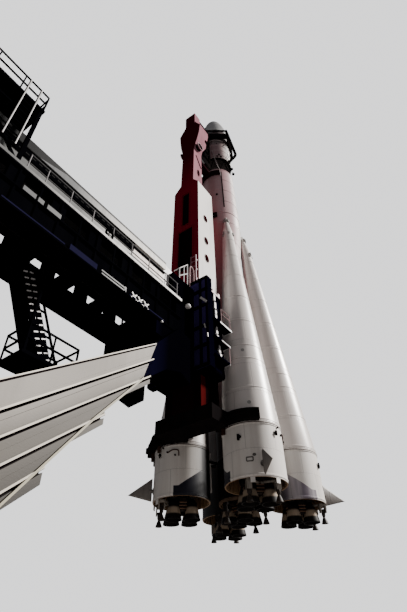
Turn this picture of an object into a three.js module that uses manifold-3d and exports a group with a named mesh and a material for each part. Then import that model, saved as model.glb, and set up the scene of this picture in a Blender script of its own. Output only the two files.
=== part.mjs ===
// Space rocket on its display stand, a 1:2 scale model.
// The rocket is a core stage with four conical boosters, an upper stage and a nose fairing.
// The stand is a mast that grips the rocket, a gantry beam behind it, two ribbed legs and a slab.
// All sizes below are metres on the full-size vehicle; real() turns them into model millimetres.
import * as THREE from "three";
import { mergeVertices } from "three/addons/utils/BufferGeometryUtils.js";
import Module from "manifold-3d";

const wasm = await Module();
wasm.setup();

const MODEL_SCALE = 0.5;
const real = (metres) => metres * 1000 * MODEL_SCALE;
const GAP = 0.0006; // running gap between neighbours: 0.3 mm on the model

// Where the rocket stands: its axis and the plane of the booster rims, above the floor.
const AXIS_X = 9.1;
const RIM_HEIGHT = 6.0;

// Core stage, heights above the rim plane.
const CORE_RADIUS = 1.025;
const CORE_TAIL_TOP = 2.0;
const CORE_CONE_START = 13.0;
const CORE_WIDE_RADIUS = 1.475;
const CORE_WIDE_START = 19.2;
const CORE_WIDE_END = 20.4;
const CORE_TOP = 26.5;
const STAGE_RADIUS = 1.33;
const TRUSS_TOP = 28.3;
const STAGE_TOP = 31.0;
const BARREL_TOP = 33.2;
const NOSE_TIP = 37.1;

// Boosters: centre distances from the core axis at the tail and at the tip.
const BOOSTER_AZIMUTHS = { a: 225, b: 135, c: 45, d: 315 };
const BOOSTER_REACH = 2.82;
const BOOSTER_TIP_REACH = 1.62;
const BOOSTER_RADIUS = 1.34;
const TAIL_TOP = 2.4;
const CONE_TOP = 17.6;
const CONE_TOP_RADIUS = 0.36;
const BOOSTER_TIP = 19.4;
const BALL_RADIUS = 0.1;
const SKIN = 0.06;

// Engines: four chambers on each, with small steering chambers beside them.
const CHAMBER_OFFSET = 0.42;
const NOZZLE_EXIT = -0.8;
const NOZZLE_EXIT_RADIUS = 0.38;
const STEER_PIVOT = -0.3;
const STEER_LENGTH = 0.56;
const STEER_OUT = 0.97;
const STEER_SIDE = 0.606;
const CORE_STEER_REACH = 1.25;
const CORE_STEER_PIVOT = -0.42;

// Steering fin, in the plane through the core axis; outward distances from the booster axis.
const FIN_ROOT = 1.4;
const FIN_TIP = 2.5;
const FIN_TOP = 1.1;
const FIN_TIP_HEIGHT = 0.3;
const FIN_BOTTOM = 0.05;
const FIN_SHAFT_HEIGHT = 0.52;
const FIN_THICKNESS = 0.09;

const PALETTE = {
  skin: { color: 0xd8d3cc, roughness: 0.5, metalness: 0.1 },
  nose: { color: 0x8d8b8a, roughness: 0.5, metalness: 0.2 },
  black: { color: 0x17161a, roughness: 0.7, metalness: 0.3 },
  engine: { color: 0x4a4644, roughness: 0.5, metalness: 0.7 },
  navy: { color: 0x1a1638, roughness: 0.5, metalness: 0.2 },
  fin: { color: 0x77736f, roughness: 0.5, metalness: 0.3 },
  red: { color: 0x7c1020, roughness: 0.5, metalness: 0.2 },
  leg: { color: 0xbdb6ae, roughness: 0.8, metalness: 0.0 },
  concrete: { color: 0x9a958e, roughness: 0.95, metalness: 0.0 },
  deck: { color: 0x9c9a98, roughness: 0.7, metalness: 0.4 },
};

const stand = new THREE.Group();
const rocket = new THREE.Group();
rocket.position.set(real(AXIS_X), 0, real(RIM_HEIGHT));
stand.position.copy(rocket.position);
const group = new THREE.Group();
group.add(rocket, stand);

function addPiece(parent, name, shape, finish) {
  const geometry = shape.isBufferGeometry ? shape : toGeometry(shape);
  const mesh = new THREE.Mesh(geometry, new THREE.MeshStandardMaterial(PALETTE[finish]));
  mesh.name = name;
  parent.add(mesh);
  return mesh;
}

function toSolid(geometry) {
  const bare = geometry.clone();
  bare.deleteAttribute("normal");
  bare.deleteAttribute("uv");
  const merged = mergeVertices(bare, 1e-3);
  return new wasm.Manifold(
    new wasm.Mesh({
      numProp: 3,
      vertProperties: new Float32Array(merged.attributes.position.array),
      triVerts: new Uint32Array(merged.index.array),
    }),
  );
}

function toGeometry(solid) {
  const mesh = solid.getMesh();
  const geometry = new THREE.BufferGeometry();
  geometry.setAttribute("position", new THREE.BufferAttribute(mesh.vertProperties, 3));
  geometry.setIndex(new THREE.BufferAttribute(mesh.triVerts, 1));
  return geometry;
}

const join = (...solids) => solids.reduce((whole, next) => whole.add(next));

// A round body on the Z axis from a list of [radius, height] pairs. The outline's signed area
// says which way the pairs run, and they are put in the order that faces the surface outwards.
function turned(profile, segments = 32) {
  const points = profile.map(([radius, height]) => new THREE.Vector2(real(radius), real(height)));
  if (THREE.ShapeUtils.area(points) < 0) points.reverse();
  return toSolid(new THREE.LatheGeometry(points, segments).rotateX(Math.PI / 2));
}

// A hollow round wall; its profile closes on itself.
const turnedWall = (profile, segments) => turned([...profile, profile[0]], segments);

function block([x0, x1], [y0, y1], [z0, z1]) {
  const geometry = new THREE.BoxGeometry(real(x1 - x0), real(y1 - y0), real(z1 - z0));
  geometry.translate(real(x0 + x1) / 2, real(y0 + y1) / 2, real(z0 + z1) / 2);
  return toSolid(geometry);
}

// A bar of square or flat section between two points; flat is its size along the second axis.
function bar(from, to, width, height = width) {
  const start = new THREE.Vector3(...from.map(real));
  const end = new THREE.Vector3(...to.map(real));
  const along = end.clone().sub(start);
  const geometry = new THREE.BoxGeometry(real(width), real(height), along.length());
  const forward = along.clone().normalize();
  const up = Math.abs(forward.z) > 0.99 ? new THREE.Vector3(1, 0, 0) : new THREE.Vector3(0, 0, 1);
  const side = new THREE.Vector3().crossVectors(up, forward).normalize();
  const across = new THREE.Vector3().crossVectors(forward, side);
  const turn = new THREE.Matrix4().makeBasis(side, across, forward);
  geometry.applyMatrix4(turn);
  const middle = start.add(end).multiplyScalar(0.5);
  geometry.translate(middle.x, middle.y, middle.z);
  return toSolid(geometry);
}

// A round rod between two points.
function rod(from, to, radius, segments = 8) {
  const start = new THREE.Vector3(...from.map(real));
  const end = new THREE.Vector3(...to.map(real));
  const along = end.clone().sub(start);
  const geometry = new THREE.CylinderGeometry(real(radius), real(radius), along.length(), segments);
  const turn = new THREE.Quaternion().setFromUnitVectors(new THREE.Vector3(0, 1, 0), along.normalize());
  geometry.applyQuaternion(turn);
  const middle = start.add(end).multiplyScalar(0.5);
  geometry.translate(middle.x, middle.y, middle.z);
  return toSolid(geometry);
}

// A flat plate: an outline in X and Z, extruded along Y from y0 to y1.
function plateXZ(outline, [y0, y1], holes = []) {
  const shape = new THREE.Shape(outline.map(([x, z]) => new THREE.Vector2(real(x), real(z))));
  for (const hole of holes) {
    shape.holes.push(new THREE.Path(hole.map(([x, z]) => new THREE.Vector2(real(x), real(z)))));
  }
  const depth = real(y1 - y0);
  const geometry = new THREE.ExtrudeGeometry(shape, { depth, bevelEnabled: false });
  geometry.rotateX(Math.PI / 2).translate(0, real(y1), 0);
  return toSolid(geometry);
}

// A flat plate: an outline in Y and Z, extruded along X from x0 to x1.
const plateYZ = (outline, [x0, x1]) => turnedAboutZ(plateXZ(outline, [-x1, -x0]), 90);

// A flat ring sector in the XY plane between two heights; angles in degrees.
function sector([cx, cy], [inner, outer], [start, end], [z0, z1], curveSegments = 14) {
  const shape = new THREE.Shape();
  const from = THREE.MathUtils.degToRad(start);
  const to = THREE.MathUtils.degToRad(end);
  shape.absarc(real(cx), real(cy), real(outer), from, to, false);
  shape.absarc(real(cx), real(cy), real(inner), to, from, true);
  const depth = real(z1 - z0);
  const geometry = new THREE.ExtrudeGeometry(shape, { depth, bevelEnabled: false, curveSegments });
  geometry.translate(0, 0, real(z0));
  return toSolid(geometry);
}

const moved = (solid, x, y, z) => solid.translate([real(x), real(y), real(z)]);
const turnedAboutZ = (solid, degrees) => solid.rotate([0, 0, degrees]);

// Core stage, truss, upper stage and fairing.
addPiece(
  rocket,
  "core_lower",
  turned([
    [0, CORE_TAIL_TOP],
    [CORE_RADIUS, CORE_TAIL_TOP],
    [CORE_RADIUS, CORE_CONE_START],
    [CORE_WIDE_RADIUS, CORE_WIDE_START],
    [0, CORE_WIDE_START],
  ]),
  "skin",
);
addPiece(
  rocket,
  "core_upper",
  turned([
    [0, CORE_WIDE_START + GAP],
    [CORE_WIDE_RADIUS, CORE_WIDE_START + GAP],
    [CORE_WIDE_RADIUS, CORE_WIDE_END],
    [STAGE_RADIUS, CORE_TOP],
    [0, CORE_TOP],
  ]),
  "skin",
);
addPiece(
  rocket,
  "core_tail",
  turned([
    [0, CORE_TAIL_TOP - GAP],
    [0, CORE_TAIL_TOP - 0.3],
    [CORE_RADIUS - SKIN, CORE_TAIL_TOP - 0.3],
    [CORE_RADIUS - SKIN, 0],
    [CORE_RADIUS, 0],
    [CORE_RADIUS, CORE_TAIL_TOP - GAP],
    [0, CORE_TAIL_TOP - GAP],
  ]),
  "skin",
);

// The open truss between the core and the upper stage: two rings and eight crossed bars.
const TRUSS_RADIUS = 1.22;
const TRUSS_BAYS = 8;
const TRUSS_BAR = 0.1;
const TRUSS_RING = 0.12;
function trussBody() {
  const bottom = CORE_TOP + GAP;
  const top = TRUSS_TOP;
  const ring = (z0) =>
    turnedWall(
      [
        [TRUSS_RADIUS - TRUSS_BAR, z0],
        [TRUSS_RADIUS + TRUSS_BAR, z0],
        [TRUSS_RADIUS + TRUSS_BAR, z0 + TRUSS_RING],
        [TRUSS_RADIUS - TRUSS_BAR, z0 + TRUSS_RING],
      ],
      32,
    );
  let body = join(ring(bottom), ring(top - TRUSS_RING));
  for (let bay = 0; bay < TRUSS_BAYS; bay += 1) {
    const step = (2 * Math.PI) / TRUSS_BAYS;
    const at = (turns, height) => [
      TRUSS_RADIUS * Math.cos(turns * step),
      TRUSS_RADIUS * Math.sin(turns * step),
      height,
    ];
    body = body.add(bar(at(bay, bottom + 0.05), at(bay + 0.5, top - 0.05), TRUSS_BAR));
    body = body.add(bar(at(bay + 0.5, top - 0.05), at(bay + 1, bottom + 0.05), TRUSS_BAR));
  }
  return body;
}
addPiece(rocket, "interstage_truss", trussBody(), "black");

addPiece(
  rocket,
  "upper_stage",
  turned([
    [0, TRUSS_TOP + GAP],
    [STAGE_RADIUS, TRUSS_TOP + GAP],
    [STAGE_RADIUS, STAGE_TOP],
    [0, STAGE_TOP],
  ]),
  "skin",
);
addPiece(
  rocket,
  "fairing_barrel",
  turned([
    [0, STAGE_TOP + GAP],
    [STAGE_RADIUS, STAGE_TOP + GAP],
    [STAGE_RADIUS, BARREL_TOP],
    [0, BARREL_TOP],
  ]),
  "skin",
);

// The nose is a blunt dome. Its half-profile is the curve r^k + h^k = 1, with r as a share of
// the barrel's radius and h as a share of the dome's height: k = 1 is a cone, k = 2 an ellipse.
const NOSE_BLUNTNESS = 1.6;
const NOSE_STEPS = 9;
function noseProfile() {
  const points = [[0, BARREL_TOP + GAP]];
  for (let step = 0; step <= NOSE_STEPS; step += 1) {
    const turn = ((Math.PI / 2) * step) / NOSE_STEPS;
    const share = Math.max(Math.cos(turn), 0) ** (2 / NOSE_BLUNTNESS);
    const rise = Math.sin(turn) ** (2 / NOSE_BLUNTNESS);
    points.push([STAGE_RADIUS * share, BARREL_TOP + GAP + (NOSE_TIP - BARREL_TOP - GAP) * rise]);
  }
  points[points.length - 1][0] = 0;
  return points;
}
addPiece(rocket, "nose_fairing", turned(noseProfile()), "nose");

// A main chamber: an open bell below a closed combustion chamber, on its own axis.
const CHAMBER_TOP = 0.75;
const CHAMBER_RADIUS = 0.2;
const THROAT_RADIUS = 0.11;
const THROAT = 0.08;
const BELL_WALL = 0.035;
function mainChamber() {
  const outer = [];
  const inner = [];
  const steps = 3;
  for (let step = 0; step <= steps; step += 1) {
    const t = step / steps;
    const radius = THROAT_RADIUS + (NOZZLE_EXIT_RADIUS - THROAT_RADIUS) * Math.sqrt(t) ** 1.3;
    const height = THROAT + (NOZZLE_EXIT - THROAT) * t;
    outer.push([radius, height]);
    inner.unshift([Math.max(radius - BELL_WALL, 0), height]);
  }
  return turned(
    [
      [0, CHAMBER_TOP],
      [CHAMBER_RADIUS, CHAMBER_TOP],
      [CHAMBER_RADIUS, THROAT + 0.16],
      ...outer,
      ...inner,
      [0, THROAT],
    ],
    12,
  );
}

const CHEEK_GAP = 0.1;
const CHEEK = 0.05;
const CHEEK_SIZE = 0.1;

// The fork that holds one steering chamber: two cheeks before and behind it on the swing axis,
// under an arm that runs out between two main chambers and then across to it. The fork sits
// at (out, side), with the swing axis along X.
const ARM_BEND = 0.5;
function steeringFork(out, side, pivot) {
  const top = pivot + 0.2;
  const span = CHEEK_GAP + CHEEK;
  const cheek = (sign) =>
    block(
      [out + (sign > 0 ? CHEEK_GAP : -span), out + (sign > 0 ? span : -CHEEK_GAP)],
      [side - CHEEK_SIZE, side + CHEEK_SIZE],
      [pivot - CHEEK_SIZE, top + 0.05],
    );
  const bridge = block([out - span, out + span], [side - CHEEK_SIZE, side + CHEEK_SIZE], [top, top + 0.08]);
  const armHeight = top + 0.09;
  const stem = bar([0.2, 0, armHeight], [ARM_BEND + 0.04, 0, armHeight], 0.12);
  const arm = bar([ARM_BEND, 0, armHeight], [out, side, armHeight], 0.12);
  return join(cheek(1), cheek(-1), bridge, stem, arm);
}

// A steering chamber hangs from a short round trunnion that lies along X.
const STEER_EXIT_RADIUS = 0.155;
function steeringChamber(out, side, pivot) {
  const wall = 0.025;
  const exit = pivot - STEER_LENGTH;
  const bell = turned(
    [
      [0, pivot],
      [0.085, pivot],
      [0.085, pivot - 0.22],
      [0.05, pivot - 0.29],
      [STEER_EXIT_RADIUS, exit],
      [STEER_EXIT_RADIUS - wall, exit],
      [0.05 - wall, pivot - 0.29],
      [0, pivot - 0.29],
    ],
    10,
  );
  const reach = CHEEK_GAP - GAP;
  const trunnion = rod([-reach, 0, pivot], [reach, 0, pivot], 0.08, 8);
  return moved(join(bell, trunnion), out, side, 0);
}

// Four main chambers under one closed block of pumps and pipes.
function engineBody(blockTop, forks) {
  const quarter = [
    [1, 1],
    [1, -1],
    [-1, 1],
    [-1, -1],
  ];
  const chambers = quarter.map(([x, y]) => moved(mainChamber(), x * CHAMBER_OFFSET, y * CHAMBER_OFFSET, 0));
  const pumps = turned(
    [
      [0, -0.2],
      [0.32, -0.2],
      [0.32, 0.3],
      [0.52, 0.3],
      [0.52, blockTop],
      [0, blockTop],
    ],
    12,
  );
  return join(pumps, ...chambers, ...forks);
}

const coreForks = [0, 90, 180, 270].map((turn) =>
  turnedAboutZ(steeringFork(CORE_STEER_REACH, 0, CORE_STEER_PIVOT), turn),
);
addPiece(rocket, "core_engine", engineBody(CORE_TAIL_TOP - 0.3 - GAP, coreForks), "engine");
[0, 90, 180, 270].forEach((turn, index) => {
  const chamber = steeringChamber(CORE_STEER_REACH, 0, CORE_STEER_PIVOT);
  addPiece(rocket, `core_steering_${index + 1}`, turnedAboutZ(chamber, turn), "engine");
});

// Each booster is built with its outward direction along X, then turned to its place.
// The cone leans on the core: its round sections stay level while their centres move inward.
const leanAt = (height) =>
  ((BOOSTER_TIP_REACH - BOOSTER_REACH) * Math.max(height - TAIL_TOP, 0)) / (BOOSTER_TIP - TAIL_TOP);
function boosterBody() {
  const profile = [
    [0, TAIL_TOP + GAP],
    [BOOSTER_RADIUS, TAIL_TOP + GAP],
    [CONE_TOP_RADIUS, CONE_TOP],
    [0.12, 19.2],
    [0.05, 19.22],
    [0.05, BOOSTER_TIP - 0.08],
    [BALL_RADIUS, BOOSTER_TIP - 0.02],
    [BALL_RADIUS, BOOSTER_TIP + 0.04],
    [0, BOOSTER_TIP + 0.1],
  ].map(([radius, height]) => new THREE.Vector2(real(radius), real(height)));
  const geometry = new THREE.LatheGeometry(profile, 32).rotateX(Math.PI / 2);
  const position = geometry.attributes.position;
  for (let index = 0; index < position.count; index += 1) {
    const height = position.getZ(index) / real(1);
    position.setX(index, position.getX(index) + real(BOOSTER_REACH + leanAt(height)));
  }
  return toSolid(geometry);
}

// The tail is an open skirt under a closed bulkhead, with the boss for the fin's shaft
// and two short ties that reach the core.
function boosterTail() {
  const skirt = turned([
    [0, TAIL_TOP],
    [0, TAIL_TOP - 0.3],
    [BOOSTER_RADIUS - SKIN, TAIL_TOP - 0.3],
    [BOOSTER_RADIUS - SKIN, 0],
    [BOOSTER_RADIUS, 0],
    [BOOSTER_RADIUS, TAIL_TOP],
    [0, TAIL_TOP],
  ]);
  const boss = rod([BOOSTER_RADIUS - 0.03, 0, FIN_SHAFT_HEIGHT], [BOOSTER_RADIUS + 0.03, 0, FIN_SHAFT_HEIGHT], 0.14);
  const tieHeight = 1.85;
  const tie = (side) =>
    rod([-BOOSTER_RADIUS + 0.03, side, tieHeight], [-BOOSTER_REACH + 0.6, side * 0.4, tieHeight], 0.07);
  const core = moved(
    turned([
      [0, -1],
      [CORE_RADIUS + GAP, -1],
      [CORE_RADIUS + GAP, 4],
      [0, 4],
    ]),
    -BOOSTER_REACH,
    0,
    0,
  );
  return join(skirt, boss, join(tie(0.4), tie(-0.4)).subtract(core));
}

function finBody() {
  const outline = [
    [FIN_ROOT, FIN_BOTTOM],
    [FIN_TIP, FIN_TIP_HEIGHT],
    [FIN_ROOT, FIN_TOP],
  ];
  const blade = plateXZ(outline, [-FIN_THICKNESS / 2, FIN_THICKNESS / 2]);
  const shaft = rod([BOOSTER_RADIUS + 0.03 + GAP, 0, FIN_SHAFT_HEIGHT], [FIN_ROOT + 0.1, 0, FIN_SHAFT_HEIGHT], 0.08);
  return join(blade, shaft);
}

for (const [letter, azimuth] of Object.entries(BOOSTER_AZIMUTHS)) {
  const place = (solid) => turnedAboutZ(moved(solid, BOOSTER_REACH, 0, 0), azimuth);
  addPiece(rocket, `booster_${letter}_body`, turnedAboutZ(boosterBody(), azimuth), "skin");
  addPiece(rocket, `booster_${letter}_tail`, place(boosterTail()), "skin");
  const forks = [1, -1].map((side) => steeringFork(STEER_OUT, side * STEER_SIDE, STEER_PIVOT));
  addPiece(rocket, `booster_${letter}_engine`, place(engineBody(TAIL_TOP - 0.3 - GAP, forks)), "engine");
  [1, -1].forEach((side, index) => {
    const chamber = steeringChamber(STEER_OUT, side * STEER_SIDE, STEER_PIVOT);
    addPiece(rocket, `booster_${letter}_steering_${index + 1}`, place(chamber), "engine");
  });
  addPiece(rocket, `booster_${letter}_fin`, place(finBody()), "fin");
}

// Mast: a box column behind the rocket, narrower above its shoulder, with a lobed head.
// Front outlines are half widths in Y, side outlines are places in X; both run up in Z.
const MAST_OUTER = -4.57;
const MAST_INNER = -2.78;
const MAST_HALF = 1.04;
const MAST_FOOT = 3.0;
const FOOT_INNER = -3.12;
const MAST_STEP = 9.2;
const MAST_SHOULDER = 20.35;
const SHOULDER_OUTER = -4.45;
const NECK_FOOT = 21.1;
const NECK_OUTER = -4.37;
const NECK_INNER = -3.25;
const NECK_HALF = 0.56;
const NECK_FLARE = 25.6;
const NECK_TOP = 26.2;
const HEAD_OUTER = -4.2;
const HEAD_HALF = 0.67;
const HEAD_TOP = 32.0;
const PEAK_OUTER = -3.97;
const PEAK_INNER = -3.2;
const mirrored = (outline) => [...outline, ...outline.map(([half, z]) => [-half, z]).reverse()];

function fromTwoSides(frontOutline, sideOutline) {
  const front = plateYZ(mirrored(frontOutline), [MAST_OUTER - 1, 0]);
  return front.intersect(plateXZ(sideOutline, [-3, 3]));
}

function ovalHole(x, z, width, height) {
  const steps = 12;
  const outline = [];
  for (let step = 0; step < steps; step += 1) {
    const angle = (step * 2 * Math.PI) / steps;
    outline.push([x + (width / 2) * Math.cos(angle), z + (height / 2) * Math.sin(angle)]);
  }
  return plateXZ(outline, [-3, 3]);
}

// The column's outer face leans in a little from its step to its shoulder.
const outerFaceAt = (z) =>
  MAST_OUTER + ((SHOULDER_OUTER - MAST_OUTER) * (z - MAST_STEP)) / (MAST_SHOULDER - MAST_STEP);

function mastColumn() {
  const body = fromTwoSides(
    [
      [MAST_HALF, MAST_STEP + GAP],
      [MAST_HALF, MAST_SHOULDER],
      [NECK_HALF, NECK_FOOT],
    ],
    [
      [MAST_OUTER, MAST_STEP + GAP],
      [MAST_INNER, MAST_STEP + GAP],
      [MAST_INNER, MAST_SHOULDER],
      [NECK_INNER, NECK_FOOT],
      [NECK_OUTER, NECK_FOOT],
      [SHOULDER_OUTER, MAST_SHOULDER],
    ],
  );
  const hole = { x: -3.7, width: 0.45, height: 0.65 };
  const holes = [13.05, 14.65, 16.85].map((z) => ovalHole(hole.x, z, hole.width, hole.height));
  const recessDepth = 0.3;
  const recesses = [
    { half: 0.55, z0: 11.9, z1: 15.7 },
    { half: 0.27, z0: 16.2, z1: 19.6 },
  ];
  const pockets = recesses.map(({ half, z0, z1 }) =>
    block([MAST_OUTER - 1, MAST_OUTER + recessDepth], [-half, half], [z0, z1]),
  );
  return body.subtract(join(...holes, ...pockets));
}

function mastNeck() {
  const body = fromTwoSides(
    [
      [NECK_HALF, NECK_FOOT + GAP],
      [NECK_HALF, NECK_FLARE],
      [HEAD_HALF, NECK_TOP],
    ],
    [
      [NECK_OUTER, NECK_FOOT + GAP],
      [NECK_INNER, NECK_FOOT + GAP],
      [NECK_INNER, NECK_TOP],
      [HEAD_OUTER, NECK_TOP],
    ],
  );
  return body.subtract(ovalHole(-3.7, 22.7, 0.3, 0.8));
}

function mastHead() {
  return fromTwoSides(
    [
      [HEAD_HALF, NECK_TOP + GAP],
      [0.83, 27.0],
      [0.97, 28.0],
      [1.07, 29.22],
      [0.5, 30.35],
      [0.5, HEAD_TOP],
    ],
    [
      [HEAD_OUTER, NECK_TOP + GAP],
      [NECK_INNER, NECK_TOP + GAP],
      [-2.95, 27.0],
      [-2.95, 27.5],
      [-3.2, 27.65],
      [-3.2, 27.95],
      [-2.9, 28.1],
      [-2.82, 28.9],
      [PEAK_INNER, 30.4],
      [PEAK_INNER, HEAD_TOP],
      [PEAK_OUTER, HEAD_TOP],
      [PEAK_OUTER, 30.4],
      [-4.06, 28.0],
    ],
  );
}

addPiece(
  stand,
  "mast_foot",
  block([MAST_OUTER, FOOT_INNER], [-MAST_HALF, MAST_HALF], [MAST_FOOT, MAST_STEP]),
  "red",
);
addPiece(stand, "mast_column", mastColumn(), "red");
addPiece(stand, "mast_neck", mastNeck(), "red");
addPiece(stand, "mast_head", mastHead(), "red");

// Upper clamp: a short ring near the core's top, on an arm from the mast's neck.
const UPPER_CLAMP = { inner: 1.355, outer: 1.52, from: 140, to: 220, z0: 25.5, z1: 26.02, armTop: 25.8, armHalf: 0.3 };
function clampBody({ inner, outer, from, to, z0, z1, armTop, armHalf }, mastFace) {
  return join(
    sector([0, 0], [inner, outer], [from, to], [z0, z1]),
    block([mastFace + GAP, -(inner + outer) / 2], [-armHalf, armHalf], [z0, armTop]),
  );
}
addPiece(stand, "upper_clamp", clampBody(UPPER_CLAMP, NECK_INNER), "black");

// Lower clamp: a short ring on the widest part of the core.
const LOWER_CLAMP = {
  inner: CORE_WIDE_RADIUS + GAP,
  outer: 1.6,
  from: 157,
  to: 203,
  z0: 19.8,
  z1: 20.3,
  armTop: 20.3,
  armHalf: 0.35,
};
addPiece(stand, "lower_clamp", clampBody(LOWER_CLAMP, MAST_INNER), "black");

// Grip frame: a five-sided collar and a lighter ring above it round the fairing barrel, two ties
// to the mast head, and a bent arm down each side to the upper stage's foot. One corner points
// at the mast, and the rings clear the barrel at the middles of their sides.
const GRIP_SIDES = 5;
const GRIP = { inner: 1.67, outer: 1.84, collar: [31.3, 32.3], ring: [32.6, 32.85], post: 0.14 };
const GRIP_ARM = { width: 0.2, elbow: [2.08, 28.9], foot: [1.3, 28.4] };
const GRIP_TIE = { end: -1.46, y: 0.4, half: 0.1, z: [31.35, 31.6] };
function gripFrame() {
  const ring = ([z0, z1]) =>
    turnedAboutZ(
      turnedWall(
        [
          [GRIP.inner, z0],
          [GRIP.outer, z0],
          [GRIP.outer, z1],
          [GRIP.inner, z1],
        ],
        GRIP_SIDES,
      ),
      -90,
    );
  const corner = (index, z) => {
    const angle = Math.PI + (index * 2 * Math.PI) / GRIP_SIDES;
    const radius = (GRIP.inner + GRIP.outer) / 2;
    return [radius * Math.cos(angle), radius * Math.sin(angle), z];
  };
  let body = join(ring(GRIP.collar), ring(GRIP.ring));
  const ringMiddle = (GRIP.ring[0] + GRIP.ring[1]) / 2;
  for (let index = 0; index < GRIP_SIDES; index += 1) {
    body = body.add(bar(corner(index, GRIP.collar[1] - 0.2), corner(index, ringMiddle), GRIP.post));
  }
  const stageSpace = turned([
    [0, 27],
    [STAGE_RADIUS + GAP, 27],
    [STAGE_RADIUS + GAP, 31],
    [0, 31],
  ]);
  for (const side of [1, -1]) {
    const tieSpan = [side * GRIP_TIE.y - GRIP_TIE.half, side * GRIP_TIE.y + GRIP_TIE.half];
    const tie = block([PEAK_INNER + GAP, GRIP_TIE.end], tieSpan, GRIP_TIE.z);
    const start = corner(side > 0 ? -1 : 1, ringMiddle);
    const [elbow, foot] = [GRIP_ARM.elbow, GRIP_ARM.foot].map(([reach, z]) => [0, side * reach, z]);
    const overlap = [0, elbow[1], elbow[2] + 0.1];
    const arm = join(bar(start, elbow, GRIP_ARM.width), bar(overlap, foot, GRIP_ARM.width));
    body = join(body, tie, arm.subtract(stageSpace));
  }
  return body;
}
addPiece(stand, "grip_frame", gripFrame(), "black");

// Tail cradle: a crosspiece under the mast with a curved jaw round each rear booster. The jaw
// on the ladder's side is the shorter one.
const jawCentre = BOOSTER_REACH * Math.SQRT1_2;
addPiece(
  stand,
  "tail_cradle",
  join(
    block([MAST_OUTER, -3.36], [-1.6, 1.6], [2.3, MAST_FOOT - GAP]),
    sector([-jawCentre, jawCentre], [BOOSTER_RADIUS + 0.03, 1.64], [100, 228], [2.35, 2.85]),
    sector([-jawCentre, -jawCentre], [BOOSTER_RADIUS + 0.03, 1.64], [132, 224], [2.35, 2.85]),
  ),
  "black",
);

// Carriage: a wide plate behind the mast with a cheek on each side of it, a spine back to the
// beam's end, and three short ledges on each cheek.
const CARRIAGE = { front: -3.4, back: -4.95, plateHalf: 1.86, cheekHalf: 1.6, z0: 4.6, z1: 10.2 };
const SPINE = { half: 0.95, z0: 4.3, z1: 9.6 };
const BEAM_FRONT = -6.7;
const BEAM_BACK = -19.0;
const BEAM_FOOT = 5.3;
const BEAM_TOP = 7.3;
const BEAM_HALF = 1.45;
const LEDGES = [
  { z: 7.5, end: -3.0 },
  { z: 6.4, end: -3.25 },
  { z: 5.35, end: -3.35 },
];
function carriage() {
  const plate = block(
    [CARRIAGE.back, MAST_OUTER - GAP],
    [-CARRIAGE.plateHalf, CARRIAGE.plateHalf],
    [CARRIAGE.z0, CARRIAGE.z1],
  );
  const spine = block([BEAM_FRONT + GAP, CARRIAGE.back + 0.1], [-SPINE.half, SPINE.half], [SPINE.z0, SPINE.z1]);
  const endFrame = block([BEAM_FRONT + GAP, BEAM_FRONT + 0.35], [-BEAM_HALF, BEAM_HALF], [BEAM_FOOT, BEAM_TOP]);
  const parts = [plate, spine, endFrame];
  for (const side of [1, -1]) {
    const span = (near, far) => (side > 0 ? [near, far] : [-far, -near]);
    const cheekSpan = span(MAST_HALF + GAP, CARRIAGE.cheekHalf);
    parts.push(block([MAST_OUTER - 0.1, CARRIAGE.front], cheekSpan, [CARRIAGE.z0, CARRIAGE.z1 - 0.5]));
    for (const { z, end } of LEDGES) {
      const shelfSpan = span(CARRIAGE.cheekHalf - 0.1, CARRIAGE.plateHalf + 0.1);
      parts.push(block([MAST_OUTER, end], shelfSpan, [z, z + 0.08]));
    }
  }
  const mastSpace = block([MAST_OUTER - GAP, MAST_INNER + 1], [-MAST_HALF - GAP, MAST_HALF + GAP], [0, 20]);
  return join(...parts).subtract(mastSpace);
}
addPiece(stand, "carriage", carriage(), "navy");

// Gantry beam: two side girders whose upper halves have a row of openings, a bottom plate
// with openings between cross bars, a top deck, and a narrower box along the deck.
const GIRDER = 0.25;
const WEB_TOP = 6.45;
const CHORD = 0.18;
const BEAM_BAYS = 7;
const BAY_POST = 0.3;
const beamFrontEdge = BEAM_FRONT - GAP;
const bayLength = (beamFrontEdge - BEAM_BACK) / BEAM_BAYS;
const bayOpenings = (spanY, spanZ) => {
  const openings = [];
  for (let bay = 0; bay < BEAM_BAYS; bay += 1) {
    const start = BEAM_BACK + bay * bayLength;
    openings.push(block([start + BAY_POST, start + bayLength - BAY_POST], spanY, spanZ));
  }
  return openings;
};
function girder(y0, y1) {
  const plate = block([BEAM_BACK, beamFrontEdge], [y0, y1], [BEAM_FOOT, BEAM_TOP]);
  return plate.subtract(join(...bayOpenings([y0 - 1, y1 + 1], [WEB_TOP, BEAM_TOP - CHORD])));
}
addPiece(stand, "girder_1", girder(-BEAM_HALF, -BEAM_HALF + GIRDER), "navy");
addPiece(stand, "girder_2", girder(BEAM_HALF - GIRDER, BEAM_HALF), "navy");
const floorHalf = BEAM_HALF - GIRDER - GAP;
const FLOOR_OPENING_HALF = 0.75;
const beamFloor = block([BEAM_BACK, beamFrontEdge], [-floorHalf, floorHalf], [BEAM_FOOT, BEAM_FOOT + CHORD]);
const floorOpenings = bayOpenings([-FLOOR_OPENING_HALF, FLOOR_OPENING_HALF], [BEAM_FOOT - 1, BEAM_FOOT + 1]);
addPiece(stand, "beam_floor", beamFloor.subtract(join(...floorOpenings)), "navy");
const DECK_TOP = BEAM_TOP + 0.1;
addPiece(
  stand,
  "beam_deck",
  block([BEAM_BACK, beamFrontEdge], [-BEAM_HALF - 0.08, BEAM_HALF + 0.08], [BEAM_TOP + GAP, DECK_TOP]),
  "deck",
);
const BOX = { half: 0.7, front: -7.1, z1: 10.0, flange: 0.2, lip: 0.1 };
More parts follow.
